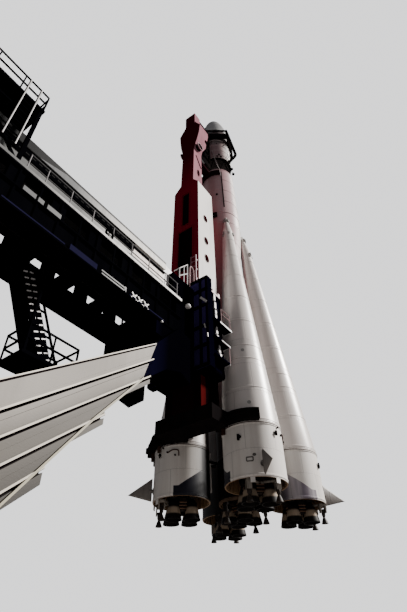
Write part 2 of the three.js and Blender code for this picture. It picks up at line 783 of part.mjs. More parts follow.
addPiece(
  stand,
  "beam_box",
  join(
    block([BEAM_BACK, BOX.front], [-BOX.half, BOX.half], [DECK_TOP + GAP, BOX.z1]),
    block([BEAM_BACK, BOX.front], [-BOX.half - BOX.lip, BOX.half + BOX.lip], [BOX.z1 - BOX.flange, BOX.z1]),
  ),
  "deck",
);

// Handrails along both edges of the deck: a toe board, posts, a middle rail and a top rail.
const RAIL = { front: -6.9, back: -15.3, height: 1.0, pitch: 1.2, size: 0.06, post: 0.05 };
function handrail({ from, to, base, height }) {
  const length = Math.hypot(to[0] - from[0], to[1] - from[1]);
  const posts = Math.max(1, Math.round(length / RAIL.pitch));
  const at = (share, z) => [from[0] + (to[0] - from[0]) * share, from[1] + (to[1] - from[1]) * share, z];
  const rail = (z) => bar(at(0, z), at(1, z), RAIL.size);
  const lowest = base + RAIL.size / 2;
  let body = join(rail(lowest), rail(base + height / 2), rail(base + height));
  for (let post = 0; post <= posts; post += 1) {
    const share = (post + (post === 0 ? 0.02 : 0) - (post === posts ? 0.02 : 0)) / posts;
    body = body.add(bar(at(share, lowest), at(share, base + height), RAIL.post));
  }
  return body;
}
[-1, 1].forEach((side, index) => {
  const edge = side * (BEAM_HALF - 0.02);
  const run = { from: [RAIL.front, edge], to: [RAIL.back, edge], base: DECK_TOP + GAP, height: RAIL.height };
  addPiece(stand, `handrail_${index + 1}`, handrail(run), "deck");
});

// Raised platform above the rear of the beam: a floor on braced posts, with railings and
// a ladder on the near side.
const PLATFORM = { front: -15.5, back: -18.9, half: 1.45, z: 11.1, thick: 0.12, post: 0.14 };
function rearPlatform() {
  const { front, back, half, z, thick, post } = PLATFORM;
  const foot = DECK_TOP + GAP;
  let body = block([back, front], [-half, half], [z, z + thick]);
  const ends = [front - 0.1, back + 0.1];
  for (const side of [1, -1]) {
    const y = side * (half - 0.15);
    for (const x of ends) body = body.add(bar([x, y, foot], [x, y, z + 0.05], post));
    body = body.add(bar([ends[0], y, foot + 0.1], [ends[1], y, z], 0.1));
    body = body.add(bar([ends[0], y, z - 0.9], [ends[1], y, z - 0.9], 0.1));
    const edge = side * (half - 0.05);
    body = body.add(handrail({ from: [front - 0.05, edge], to: [back + 0.05, edge], base: z + thick - 0.01, height: 1.1 }));
  }
  for (const x of [front - 0.05, back + 0.05]) {
    const run = { from: [x, -half + 0.07], to: [x, half - 0.07], base: z + thick - 0.02, height: 1.08 };
    body = body.add(handrail(run));
  }
  const ladder = { x0: -16.45, x1: -15.95, y: -half - 0.02 };
  const ladderTop = z + 1.1;
  for (const x of [ladder.x0, ladder.x1]) body = body.add(bar([x, ladder.y, foot + 0.6], [x, ladder.y, ladderTop], 0.07));
  for (let rung = foot + 0.8; rung < z; rung += 0.35) {
    body = body.add(bar([ladder.x0, ladder.y, rung], [ladder.x1, ladder.y, rung], 0.05));
  }
  return body;
}
addPiece(stand, "rear_platform", rearPlatform(), "navy");

// Stairs under the beam, between the legs: a steep flight down to a hung landing with railings.
const STAIR = { y0: 0.1, y1: 0.8, top: [-13.4, 5.1], foot: [-11.75, 1.75], tread: 0.3, string: 0.08, treads: 11 };
const LANDING = { front: -10.85, back: -12.95, y0: -0.4, y1: 0.9, z: 1.65, thick: 0.1, rail: 1.05 };
const STAIR_RAILS = [
  [-12.75, -11.45],
  [-12.3, -11.0],
];
function stairs() {
  const { y0, y1, top, foot, tread, string, treads } = STAIR;
  const { front, back, z, thick, rail } = LANDING;
  const hook = BEAM_FOOT - GAP;
  const railTop = z + rail;
  let body = block([back, front], [LANDING.y0, LANDING.y1], [z, z + thick]);
  for (const y of [y0, y1]) body = body.add(bar([top[0], y, top[1]], [foot[0], y, foot[1]], string, 0.5));
  body = body.add(block([top[0] - 0.5, top[0] + 0.5], [y0 - 0.1, y1 + 0.1], [top[1] - 0.1, hook]));
  for (let step = 1; step < treads; step += 1) {
    const x = top[0] + ((foot[0] - top[0]) * step) / treads;
    const height = top[1] + ((foot[1] - top[1]) * step) / treads;
    body = body.add(block([x - tread / 2, x + tread / 2], [y0, y1], [height, height + 0.06]));
  }
  for (const [railX, endX] of STAIR_RAILS) {
    body = body.add(bar([railX, y1, hook - 0.03], [endX, y1, railTop], 0.07));
    body = body.add(bar([endX, y1, railTop + 0.03], [endX, y1, z + 0.02], 0.07));
  }
  for (const share of [0.35, 0.7]) {
    const ends = STAIR_RAILS.map(([railX, endX]) => [railX + (endX - railX) * share, y1, hook + (railTop - hook) * share]);
    body = body.add(bar(ends[0], ends[1], 0.06));
  }
  body = body.add(bar([back + 0.1, LANDING.y0 + 0.1, z + 0.02], [back + 0.1, LANDING.y0 + 0.1, hook], 0.09));
  const [x0, x1] = [back + 0.05, front - 0.05];
  const [near, far] = [LANDING.y0 + 0.05, LANDING.y1 - 0.05];
  const runs = [
    { from: [x0, far], to: [x1, far] },
    { from: [x0, near], to: [x1, near] },
    { from: [x1, near + 0.02], to: [x1, far - 0.02], drop: 0.02 },
    { from: [x0, near + 0.02], to: [x0, far - 0.02], drop: 0.02 },
  ];
  for (const { from, to, drop = 0 } of runs) {
    body = body.add(handrail({ from, to, base: z + thick - 0.02, height: rail - drop }));
  }
  return body;
}
addPiece(stand, "stairs", stairs(), "navy");

// Short ladder on the mast's outer face, on two strings with feet that reach the mast.
const LADDER = { y0: -0.95, y1: -0.6, z0: 10.3, z1: 12.6, out: 0.14 };
function mastLadder() {
  const { y0, y1, z0, z1, out } = LADDER;
  const x = MAST_OUTER - out;
  let body = join(bar([x, y0, z0], [x, y0, z1], 0.05), bar([x, y1, z0], [x, y1, z1], 0.05));
  for (let rung = z0 + 0.2; rung < z1; rung += 0.4) body = body.add(bar([x, y0, rung], [x, y1, rung], 0.04));
  for (const z of [z0 + 0.4, (z0 + z1) / 2, z1 - 0.4]) {
    const footEnd = outerFaceAt(z - 0.04) - GAP;
    for (const y of [y0, y1]) body = body.add(block([x, footEnd], [y - 0.03, y + 0.03], [z - 0.04, z + 0.04]));
  }
  return body;
}
addPiece(stand, "mast_ladder", mastLadder(), "red");

// Legs: tall ribbed fans from the brackets under the beam's front down to the slab. Along the
// leg, distance runs away from the rocket; the outline and the ribs' edges are [distance, z].
const SLAB_TOP = -5.6;
const LEG_TOP_X = -9.0;
const LEG_FACE = 2.0;
const LEG_SPLAY = 6;
const LEG_THICKNESS = 1.0;
const GROOVE_DEPTH = 0.14;
const LEG_TOP = { upper: [-0.29, 3.64], lower: [0.41, 1.72] };
const LEG_OUTLINE = [LEG_TOP.upper, LEG_TOP.lower, [2.42, -0.53], [6.55, SLAB_TOP + GAP], [11.8, SLAB_TOP + GAP]];
const GROOVE_HEIGHT = 0.4;
const GROOVE_FOOT = SLAB_TOP - 0.18;
const GROOVES = [
  { start: [-0.3, 2.76], end: [10.3, GROOVE_FOOT] },
  { start: [0.0, 1.77], end: [9.4, GROOVE_FOOT] },
  { start: [2.0, -0.48], end: [8.5, GROOVE_FOOT] },
  { start: [3.7, -2.53], end: [7.6, GROOVE_FOOT] },
];
const alongLeg = (points) => points.map(([distance, z]) => [-distance, z]);
const legFaces = (side) => (side > 0 ? [-LEG_THICKNESS, 0] : [0, LEG_THICKNESS]);
const standLeg = (solid, side) => moved(turnedAboutZ(solid, side * -LEG_SPLAY), LEG_TOP_X, side * LEG_FACE, 0);
function legBody(side) {
  const web = plateXZ(alongLeg(LEG_OUTLINE), legFaces(side));
  const cuts = GROOVES.map(({ start, end }) => {
    const lift = ([distance, z], up) => [distance, z + up];
    const strip = alongLeg([start, end, lift(end, GROOVE_HEIGHT), lift(start, GROOVE_HEIGHT)]);
    const outerFace = plateXZ(strip, side > 0 ? [-GROOVE_DEPTH, 1] : [-1, GROOVE_DEPTH]);
    const innerSpan = side > 0 ? [-2, GROOVE_DEPTH - LEG_THICKNESS] : [LEG_THICKNESS - GROOVE_DEPTH, 2];
    return outerFace.add(plateXZ(strip, innerSpan));
  });
  return standLeg(web.subtract(join(...cuts)), side);
}
[-1, 1].forEach((side, index) => addPiece(stand, `leg_${index + 1}`, legBody(side), "leg"));

// Saddle: a bracket that carries on each leg's line up to the beam, joined by a cross sill under
// the beam's front end. The bracket outline is [distance, z] along the leg, like the leg's own.
const SADDLE = { front: -6.2, back: -8.3, sillHalf: 1.5, z0: 4.6 };
const SEAT = GAP * 1.07; // level gap that leaves GAP square to the leg's slanted end
const BRACKET_OUTLINE = [
  [LEG_TOP.upper[0] - SEAT, LEG_TOP.upper[1]],
  [LEG_TOP.lower[0] - SEAT, LEG_TOP.lower[1]],
  [-0.96, 2.84],
  [-2.0, 3.25],
  [-2.75, 3.06],
  [-2.75, BEAM_FOOT - GAP],
  [-1.8, BEAM_FOOT - GAP],
];
function saddle() {
  const sill = block([SADDLE.back, SADDLE.front], [-SADDLE.sillHalf, SADDLE.sillHalf], [SADDLE.z0, BEAM_FOOT - GAP]);
  const brackets = [1, -1].map((side) => standLeg(plateXZ(alongLeg(BRACKET_OUTLINE), legFaces(side)), side));
  const carriageSpace = block([BEAM_FRONT, 0], [-SPINE.half - GAP, SPINE.half + GAP], [SPINE.z0 - GAP, 20]);
  return join(sill, ...brackets).subtract(carriageSpace);
}
addPiece(stand, "leg_saddle", saddle(), "navy");

// Foundation slab, from under the legs' feet to under the rocket.
const SLAB = { halfLength: 13.5, halfWidth: 5.2 };
addPiece(
  stand,
  "slab",
  block(
    [-AXIS_X - SLAB.halfLength, -AXIS_X + SLAB.halfLength],
    [-SLAB.halfWidth, SLAB.halfWidth],
    [-RIM_HEIGHT, SLAB_TOP],
  ),
  "concrete",
);

export default group;
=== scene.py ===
import bpy
import numpy as np
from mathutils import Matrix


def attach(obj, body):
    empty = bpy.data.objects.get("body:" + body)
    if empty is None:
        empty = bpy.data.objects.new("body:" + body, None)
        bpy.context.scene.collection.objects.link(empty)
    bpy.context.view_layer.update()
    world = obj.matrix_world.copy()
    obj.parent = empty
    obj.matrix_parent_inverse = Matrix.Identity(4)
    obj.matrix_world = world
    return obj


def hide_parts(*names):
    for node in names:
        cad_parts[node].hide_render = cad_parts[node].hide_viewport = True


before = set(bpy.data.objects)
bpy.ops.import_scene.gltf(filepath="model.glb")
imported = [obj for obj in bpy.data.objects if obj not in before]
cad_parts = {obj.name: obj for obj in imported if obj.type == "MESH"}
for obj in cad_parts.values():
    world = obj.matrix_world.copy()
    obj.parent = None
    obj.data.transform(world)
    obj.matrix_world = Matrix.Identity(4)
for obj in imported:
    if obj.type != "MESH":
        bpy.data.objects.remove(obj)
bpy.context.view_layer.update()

# Lower core: the long riveted aluminium cylinder that widens towards its top, with shallow
# ring frames under the skin. Sizes here and below are full-size metres from the rocket's axis
# and from the plane of the booster rims; the model is built at half that size.
AXIS_PLACE = np.array([9.1, 0.0, 6.0])
SCALE = 0.5
CREASE = np.radians(35.0)


def to_model(points):
    """Model metres: the full-size point plus the place of the rocket's axis, times the scale."""
    return (np.asarray(points, float) + AXIS_PLACE) * SCALE


def as_points(*coordinates):
    """Points from their coordinates, which may be arrays or single numbers."""
    return np.stack(np.broadcast_arrays(*coordinates), axis=-1)


def unit(vectors):
    """The vectors at a length of 1."""
    return vectors / np.linalg.norm(vectors, axis=-1, keepdims=True)


def grid_shape(points, closed=False, uv=None):
    """A (rows, columns, 3) grid of points as one surface: vertices, quads, corner UVs, caps.

    Quad (i, j) joins points (i, j), (i, j+1), (i+1, j+1) and (i+1, j). Each row is a closed
    loop. The last row joins the first where closed, and otherwise a flat face caps each end.
    """
    rows, columns = points.shape[:2]
    i = np.arange(rows if closed else rows - 1)[:, None]
    j = np.arange(columns)[None, :]
    corners = [(i, j), (i, j + 1), (i + 1, j + 1), (i + 1, j)]
    quads = np.stack([(a % rows) * columns + (b % columns) for a, b in corners], axis=-1)
    if uv is None:
        uv_corners = np.zeros((quads.size // 4, 4, 2))
    else:
        picked = [uv[np.minimum(a, uv.shape[0] - 1), np.minimum(b, uv.shape[1] - 1)] for a, b in corners]
        uv_corners = np.stack(picked, axis=2).reshape(-1, 4, 2)
    loop = np.arange(columns)
    ends = [] if closed else [loop[::-1], loop + (rows - 1) * columns]
    return points.reshape(-1, 3), quads.reshape(-1, 4), uv_corners, ends


def revolve(profile, segments=72, lean=None, closed=False):
    """Surface of revolution: x = c(z) + r cos t, y = r sin t, with r and z from the profile.

    c(z) is the sideways lean of the axis, if any. UV is (t times 1 m, metres along the profile).
    """
    profile = np.asarray(profile, float)
    radius, height = profile[:, :1], profile[:, 1:]
    turn = np.linspace(0, 2 * np.pi, segments, endpoint=False)[None, :]
    shift = np.zeros_like(height) if lean is None else lean(height)
    points = as_points(shift + radius * np.cos(turn), radius * np.sin(turn), height)
    across = np.linspace(0, 2 * np.pi, segments + 1)
    along = np.concatenate([[0], np.cumsum(np.hypot(*np.diff(profile, axis=0).T))])[:, None]
    return grid_shape(points, closed, as_points(across, along))


def add_piece(name, shapes, finish, slot, *stands_for, body="root"):
    """One object from several surfaces, its corners given in full-size metres.

    slot is not used, and stands_for names the CAD nodes that it replaces.
    """
    vertices, corners, starts, uvs = [], [], [], []
    base, loop = 0, 0
    for points, quads, uv, ends in shapes:
        vertices.append(points)
        corners.append((quads + base).ravel())
        starts.append(loop + 4 * np.arange(len(quads)))
        uvs.append(uv.reshape(-1, 2))
        loop += quads.size
        for end in ends:
            corners.append(end + base)
            starts.append([loop])
            uvs.append(points[end][:, :2])
            loop += len(end)
        base += len(points)
    mesh = bpy.data.meshes.new(name)
    mesh.vertices.add(base)
    mesh.vertices.foreach_set("co", to_model(np.vstack(vertices)).ravel())
    corners, starts = np.concatenate(corners), np.concatenate(starts)
    mesh.loops.add(len(corners))
    mesh.loops.foreach_set("vertex_index", corners.astype(np.int32))
    mesh.polygons.add(len(starts))
    mesh.polygons.foreach_set("loop_start", starts.astype(np.int32))
    mesh.update(calc_edges=True)
    layer = mesh.uv_layers.new(name="Panels")
    layer.data.foreach_set("uv", np.vstack(uvs).astype(np.float32).ravel())
    mesh.polygons.foreach_set("use_smooth", np.ones(len(starts), bool))
    mesh.set_sharp_from_angle(angle=CREASE)
    mesh.validate()
    mesh.materials.append(finish)
    piece = bpy.data.objects.new(name, mesh)
    bpy.context.scene.collection.objects.link(piece)
    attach(piece, body)
    if stands_for:
        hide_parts(*stands_for)


def banded(profile, bands, rise=0.014, width=0.07):
    """The profile with a low raised ring at each height in bands, on its outer side."""
    profile = np.asarray(profile, float)
    steps = np.array([(0.0, 0.0), (0.2, rise), (0.8, rise), (1.0, 0.0)])
    heights = np.asarray(bands)[:, None] - width / 2 + steps[:, 0] * width
    radii = np.interp(heights, profile[:, 1], profile[:, 0]) + steps[:, 1]
    both = np.vstack([profile, as_points(radii.ravel(), heights.ravel())])
    return both[np.argsort(both[:, 1], kind="stable")]


def add_node(tree, kind, inputs=(), **settings):
    """A shader node with its settings and inputs.

    An input is another node's socket or a value, and a colour is three numbers.
    """
    node = tree.nodes.new(kind)
    for key, value in settings.items():
        setattr(node, key, value)
    for key, value in dict(inputs).items():
        socket = node.inputs[key]
        if isinstance(value, bpy.types.NodeSocket):
            tree.links.new(value, socket)
        elif socket.type == "RGBA":
            socket.default_value = (*value, 1.0)
        else:
            socket.default_value = value
    return node


def maths(operation, *values):
    """One Math node's result. At least one value is a socket, which tells the node tree."""
    tree = next(value.id_data for value in values if isinstance(value, bpy.types.NodeSocket))
    return add_node(tree, "ShaderNodeMath", enumerate(values), operation=operation).outputs[0]


def plus(first, second):
    """first + second."""
    return maths("ADD", first, second)


def minus(first, second):
    """first - second."""
    return maths("SUBTRACT", first, second)


def times(first, *others):
    """The product of the values, which for masks is 1 where all of them are."""
    for other in others:
        first = maths("MULTIPLY", first, other)
    return first


def line(value, slope, start):
    """start + slope * value."""
    return maths("MULTIPLY_ADD", value, slope, start)


def over(value, limit):
    """1 where value is more than limit, else 0."""
    return maths("GREATER_THAN", value, limit)


def under(value, limit):
    """1 where value is less than limit, else 0."""
    return maths("LESS_THAN", value, limit)


def ramp(value, low, high):
    """value mapped from low..high to 0..1, clamped."""
    inputs = {"Value": value, "From Min": low, "From Max": high}
    return add_node(value.id_data, "ShaderNodeMapRange", inputs).outputs[0]


def blend(share, first, second):
    """The first colour where share is 0, the second where it is 1."""
    inputs = {"Factor": share, 6: first, 7: second}
    return add_node(share.id_data, "ShaderNodeMix", inputs, data_type="RGBA").outputs[2]


def stained(tree, colour, stain):
    """The colour multiplied by the stain, so that dark areas stay dark."""
    inputs = {"Factor": 1.0, 6: colour, 7: stain}
    return add_node(tree, "ShaderNodeMix", inputs, data_type="RGBA", blend_type="MULTIPLY").outputs[2]


def split(vector):
    """The three parts of a vector socket."""
    return add_node(vector.id_data, "ShaderNodeSeparateXYZ", {"Vector": vector}).outputs


def object_place(tree):
    """The place on the piece, in model metres."""
    return add_node(tree, "ShaderNodeTexCoord").outputs["Object"]


def sheet_place(tree):
    """The place on the piece's own UV, which is in full-size metres."""
    return add_node(tree, "ShaderNodeUVMap", uv_map="Panels").outputs[0]


def upright(place, squeeze):
    """The place with its height squeezed, so that noise on it runs down in streaks."""
    inputs = {"Vector": place, "Scale": (1.0, 1.0, squeeze)}
    return add_node(place.id_data, "ShaderNodeMapping", inputs).outputs[0]


def noise(place, scale, detail, roughness=0.5):
    """A noise texture's value at a place."""
    inputs = {"Vector": place, "Scale": scale, "Detail": detail, "Roughness": roughness}
    return add_node(place.id_data, "ShaderNodeTexNoise", inputs).outputs[0]


def start_group(name, inputs, outputs):
    """A shader node group: its tree, the sockets given to it and the sockets taken from it."""
    tree = bpy.data.node_groups.new(name, "ShaderNodeTree")
    for way, sockets in (("INPUT", inputs), ("OUTPUT", outputs)):
        for kind, labels in sockets.items():
            for label in labels:
                tree.interface.new_socket(label, in_out=way, socket_type=f"NodeSocket{kind}")
    return tree, tree.nodes.new("NodeGroupInput").outputs, tree.nodes.new("NodeGroupOutput").inputs


def finish_group(tree, taken, results):
    """Links the group's results to its outputs."""
    for label, socket in results.items():
        tree.links.new(socket, taken[label])


# Weathered paint on the core's skin: slow fading, rain streaks that run down, fine specks, and
# a gloss that varies with the fading and drops where it is dirty.
weather, given, taken = start_group(
    "weathered paint",
    {"Color": ["Paint", "Grime"], "Float": ["Amount", "Streaks", "Gloss low", "Gloss high"]},
    {"Color": ["Colour"], "Float": ["Roughness", "Height"]},
)
amount, grime = given["Amount"], given["Grime"]
place = object_place(weather)
streaks = noise(upright(place, 0.07), given["Streaks"], 6.0, 0.6)
clouds = noise(place, 0.55, 5.0)
speckle = noise(place, 46.0, 3.0)
dirt = times(ramp(streaks, 0.46, 0.78), amount)
faded = blend(times(ramp(clouds, 0.35, 0.8), times(amount, 0.55)), given["Paint"], grime)
streaked = blend(dirt, faded, grime)
spotted = blend(times(ramp(speckle, 0.62, 0.7), times(amount, 0.4)), streaked, grime)
gloss = line(clouds, minus(given["Gloss high"], given["Gloss low"]), given["Gloss low"])
finish_group(weather, taken, {"Colour": spotted, "Roughness": line(dirt, 0.2, gloss), "Height": speckle})

# Riveted panels of the same skin: sheets laid like brickwork on a UV in metres, with a seam and
# a row of rivets along every edge.
RIVET_LINE = 0.05
RIVET_EDGES = (0.022, 0.012)
panels, given, taken = start_group(
    "riveted panels",
    {"Vector": ["Vector"], "Float": ["Width", "Height", "Pitch"]},
    {"Float": ["Seam", "Tone", "Rivets"]},
)
brick_inputs = {
    "Vector": given["Vector"],
    "Color1": (0, 0, 0),
    "Color2": (1, 1, 1),
    "Mortar": (0.5, 0.5, 0.5),
    "Scale": 1.0,
    "Mortar Size": 0.012,
    "Mortar Smooth": 0.2,
    "Brick Width": given["Width"],
    "Row Height": given["Height"],
}
bricks = add_node(panels, "ShaderNodeTexBrick", brick_inputs, offset=0.5).outputs


def off_middle(value, pitch):
    """How far value is from the middle of its step, in steps."""
    return minus(maths("FRACT", maths("DIVIDE", value, pitch)), 0.5)


across, up, _ = split(given["Vector"])
edge_gap = times(minus(0.5, maths("ABSOLUTE", off_middle(up, given["Height"]))), given["Height"])
off_line = minus(edge_gap, RIVET_LINE)
off_dot = times(off_middle(across, given["Pitch"]), given["Pitch"])
to_rivet = maths("SQRT", plus(times(off_line, off_line), times(off_dot, off_dot)))
tone = add_node(panels, "ShaderNodeSeparateColor", {"Color": bricks["Color"]}).outputs[0]
finish_group(panels, taken, {"Seam": bricks["Fac"], "Tone": tone, "Rivets": ramp(to_rivet, *RIVET_EDGES)})
SEAM_STAIN = (0.08, 0.07, 0.07)


def paint(
    name,
    colour,
    grime,
    amount,
    streaks=3.0,
    gloss=(0.4, 0.6),
    metallic=0.0,
    panel=None,
    bump=0.25,
    shine=0.5,
    stain=False,
):
    """Weathered paint on plain steel, or on riveted panels of the given width, height and pitch.

    colour is three numbers, or a tint: a function of the tree that gives a colour by place.
    shine is the specular level, low on chalky dark paint. With stain, the grime multiplies the
    paint instead of covering it, so that dark areas stay dark.
    """
    finish = bpy.data.materials.new(name)
    finish.use_nodes = True
    tree = finish.node_tree
    shader = tree.nodes["Principled BSDF"].inputs
    base = colour(tree) if callable(colour) else colour
    if stain:
        grime = stained(tree, base, grime)
    settings = {"Paint": base, "Grime": grime, "Amount": amount, "Streaks": streaks}
    settings.update({"Gloss low": gloss[0], "Gloss high": gloss[1]})
    coat = add_node(tree, "ShaderNodeGroup", settings, node_tree=weather).outputs
    shade, height = coat["Colour"], coat["Height"]
    if panel:
        settings = {"Vector": sheet_place(tree), "Width": panel[0], "Height": panel[1], "Pitch": panel[2]}
        sheets = add_node(tree, "ShaderNodeGroup", settings, node_tree=panels).outputs
        toned = blend(times(sheets["Tone"], 0.07), shade, grime)
        shade = blend(times(sheets["Seam"], 0.3), toned, stained(tree, base, SEAM_STAIN))
        shade = blend(times(sheets["Rivets"], 0.2), shade, grime)
        height = plus(height, minus(times(sheets["Rivets"], 2.0), times(sheets["Seam"], 2.0)))
    relief = add_node(tree, "ShaderNodeBump", {"Height": height, "Strength": bump, "Distance": 0.004})
    tree.links.new(shade, shader["Base Color"])
    tree.links.new(coat["Roughness"], shader["Roughness"])
    tree.links.new(relief.outputs[0], shader["Normal"])
    shader["Metallic"].default_value = metallic
    shader["Specular IOR Level"].default_value = shine
    return finish


def facing(tree, axis):
    """How far the surface faces along a coordinate axis, from -1 to 1."""
    return split(add_node(tree, "ShaderNodeNewGeometry").outputs["True Normal"])[axis]


def off_mast(tree):
    """How far the surface faces away from the mast: its way along X and 0.35 of that along Y."""
    return line(facing(tree, 1), 0.35, facing(tree, 0))


def located(tree, axis):
    """The full-size coordinate along an axis, from the rocket's axis and the rim plane."""
    return line(split(object_place(tree))[axis], 1 / SCALE, -AXIS_PLACE[axis])


# Tube of the lower core: aluminium sheet rolled and riveted. Its white paint comes in two coats,
# flat here and satin on the upper core and the boosters, with the same painted shade: dusky pink
# by the mast, partly a painted reflection of its red, and black round the core's foot.
WHITE = (0.70, 0.67, 0.64)
WARM_GRIME = (0.28, 0.22, 0.21)
SHADE_PINK = (0.46, 0.28, 0.30)
SHADE_ROSE = (0.46, 0.24, 0.27)
SHADE_BLACK = (0.005, 0.004, 0.005)


def skin_tint(tree):
    """White, with a painted shade of dusky pink on the side by the mast, the pink a painted
    reflection of the red mast, and a painted shade of black round the core's foot.

    The pink is strong on the core and faint on the boosters. The black fades with the square of
    the distance from the axis, and reaches further on the far booster, and it ends at 7.5 m.
    """
    x, y, z = (located(tree, axis) for axis in range(3))
    off_axis = plus(times(x, x), times(y, y))
    on_core = under(off_axis, 2.35)
    near_mast = times(ramp(off_mast(tree), 0.0, -0.6), line(on_core, 0.78, 0.12))
    # Painted shade: dusky pink on the faces turned to the mast, with a painted reflection of its red.
    shade = blend(near_mast, WHITE, blend(ramp(z, 27.5, 22.0), SHADE_ROSE, SHADE_PINK))
    # Painted shade: black round the core's foot, between the boosters.
    far_booster = times(over(x, 0.0), over(y, 0.0))
    reach = line(far_booster, -4.5, off_axis)
    return blend(times(ramp(reach, 5.0, 3.4), ramp(z, 7.5, 4.0)), shade, SHADE_BLACK)


CORE_RADIUS = 1.025
CORE_WIDEST = 1.475
CORE_FOOT, CORE_FLARE, WIDEST_FOOT = 2.0, 13.0, 19.2
skin_coat = {"amount": 0.34, "panel": (1.57, 1.6, 0.12)}
skin_paint = paint("white paint over riveted skin", skin_tint, WARM_GRIME, gloss=(0.26, 0.42), **skin_coat)
core_paint = paint("flat core paint", skin_tint, WARM_GRIME, gloss=(0.4, 0.55), shine=0.1, **skin_coat)
lower_core = [(CORE_RADIUS, CORE_FOOT), (CORE_RADIUS, CORE_FLARE), (CORE_WIDEST, WIDEST_FOOT)]
lower_core = banded(lower_core, [2.2, 5.2, 8.3, 11.4, 13.0, 15.2, 17.4])
add_piece("core_lower_skin", [revolve(lower_core, 96)], core_paint, "rocket_skin", "core_lower")

# Upper core: the widest ring of the core, then a slow taper to the truss, in the same riveted
# skin. A domed tank end shows through the open truss above it, painted dull black as the shade
# inside the truss.
NECK_RADIUS = 1.33
WIDEST_HEAD, CORE_HEAD = 20.4, 26.5
upper_core = [(CORE_WIDEST, WIDEST_FOOT), (CORE_WIDEST, WIDEST_HEAD), (NECK_RADIUS, CORE_HEAD)]
upper_core = banded(upper_core, [19.28, 20.4, 21.9, 23.4, 24.9, 26.42])
dome_turn = np.linspace(0, np.pi / 2, 12)
tank_dome = as_points(1.05 * np.cos(dome_turn) + 0.01, 26.49 + 0.5 * np.sin(dome_turn))
add_piece("core_upper_skin", [revolve(upper_core, 96)], skin_paint, "rocket_skin", "core_upper")
dull = {"gloss": (0.6, 0.8), "shine": 0.0}
black_paint = paint("dull black paint on steel", (0.004, 0.0035, 0.004), (0.022, 0.016, 0.014), 0.4, **dull)
# The dome's dull black is painted shade inside the truss.
add_piece("core_tank_dome", [revolve(tank_dome, 48)], black_paint, "black_steel")

# Core tail: an open skirt round the core engine, black in painted shade above a brown rim, with a
# row of ribs in ochre primer welded inside.


def painted_by_height(levels):
    """A tint that changes colour at full-size heights, from (height, colour) pairs, upwards."""

    def tint(tree):
        z = located(tree, 2)
        shade = levels[0][1]
        for level, colour in levels[1:]:
            shade = blend(ramp(z, level - 0.008, level + 0.008), shade, colour)
        return shade

    return tint


def both_ends(starts, ends):
    """The first and last points of straight bars as rows, and the direction of each bar."""
    starts, ends = np.atleast_2d(np.asarray(starts, float)), np.atleast_2d(np.asarray(ends, float))
    return starts, ends, unit(ends - starts)


def bars(starts, ends, width, depth, sideways=None):
    """Square-edged bars: corner = end + a width/2 side + b depth/2 across, for a, b = -1 and 1."""
    starts, ends, forward = both_ends(starts, ends)
    if sideways is None:
        flat = np.cross((0.0, 0.0, 1.0), forward)
        steep = np.linalg.norm(flat, axis=1, keepdims=True) < 1e-3
        sideways = np.where(steep, (1.0, 0.0, 0.0), flat)
    sideways = np.atleast_2d(sideways)
    side = sideways - np.sum(sideways * forward, axis=1, keepdims=True) * forward
    side = unit(side)
    across = np.cross(forward, side)
    signs = np.array([(-1, -1), (1, -1), (1, 1), (-1, 1)])
    offset = signs[None, :, :1] * side[:, None] * width / 2 + signs[None, :, 1:] * across[:, None] * depth / 2
    points = np.concatenate([starts[:, None] + offset, ends[:, None] + offset], axis=1)
    pattern = np.array([(3, 2, 1, 0), (4, 5, 6, 7), (0, 1, 5, 4), (1, 2, 6, 5), (2, 3, 7, 6), (3, 0, 4, 7)])
    quads = (np.arange(len(points))[:, None, None] * 8 + pattern).reshape(-1, 4)
    return points.reshape(-1, 3), quads, np.zeros((len(quads), 4, 2)), []


def on_ring(radius, degrees, height):
    """Points on level circles: (r cos t, r sin t, z)."""
    turn = np.radians(degrees)
    return as_points(radius * np.cos(turn), radius * np.sin(turn), height)


def rib_ring(radius, count, z0, z1, depth):
    """count upright ribs on the inside of a skirt, each a thin bar from radius inwards."""
    turn = (np.arange(count) + 0.5) * 360.0 / count
    middle = radius - depth / 2
    outward = on_ring(1.0, turn, 0.0)
    return bars(on_ring(middle, turn, z0), on_ring(middle, turn, z1), depth, RIB_WIDTH, outward)


RIB_WIDTH = 0.05
OCHRE = (0.20, 0.115, 0.055)
RIM_BROWN = (0.13, 0.085, 0.06)
TAIL_INSIDE = 0.965
# The skirt's black above the rim is painted shade.
core_tail_paint = paint(
    "core skirt in painted black shade, brown rim",
    painted_by_height([(0.0, RIM_BROWN), (0.14, SHADE_BLACK)]),
    (0.02, 0.012, 0.01),
    0.4,
    panel=(1.57, 0.95, 0.12),
    shine=0.0,
)
ochre_primer = paint("ochre primer inside the skirts", OCHRE, (0.05, 0.035, 0.03), 0.75, gloss=(0.55, 0.75))
tail_wall = banded([(CORE_RADIUS, 0.0), (CORE_RADIUS, CORE_FOOT)], [0.08, 1.0, 1.93])
tail_wall = np.vstack([tail_wall, [(TAIL_INSIDE, 1.99), (TAIL_INSIDE, 0.0)]])
add_piece("core_tail_skirt", [revolve(tail_wall, closed=True)], core_tail_paint, "rocket_skin", "core_tail")
add_piece("core_tail_ribs", [rib_ring(TAIL_INSIDE, 24, 0.06, 1.68, 0.07)], ochre_primer, "rocket_skin")

# Interstage truss: sixteen welded tubes between two rings, joined by gusset plates, with the
# upper stage's engine bell hanging in the middle.
TRUSS_RADIUS = 1.22
TRUSS_RING = 1.32
TRUSS_FOOT, TRUSS_HEAD = 26.58, 28.24


def circle_round(forward, helper, radius, sides):
    """Offsets of circles square to forward: radius (side cos t + across sin t)."""
    side = unit(np.cross(helper, forward))
    across = np.cross(forward, side)
    turn = np.linspace(0, 2 * np.pi, sides, endpoint=False)[None, :, None]
    return radius * (side[:, None] * np.cos(turn) + across[:, None] * np.sin(turn))


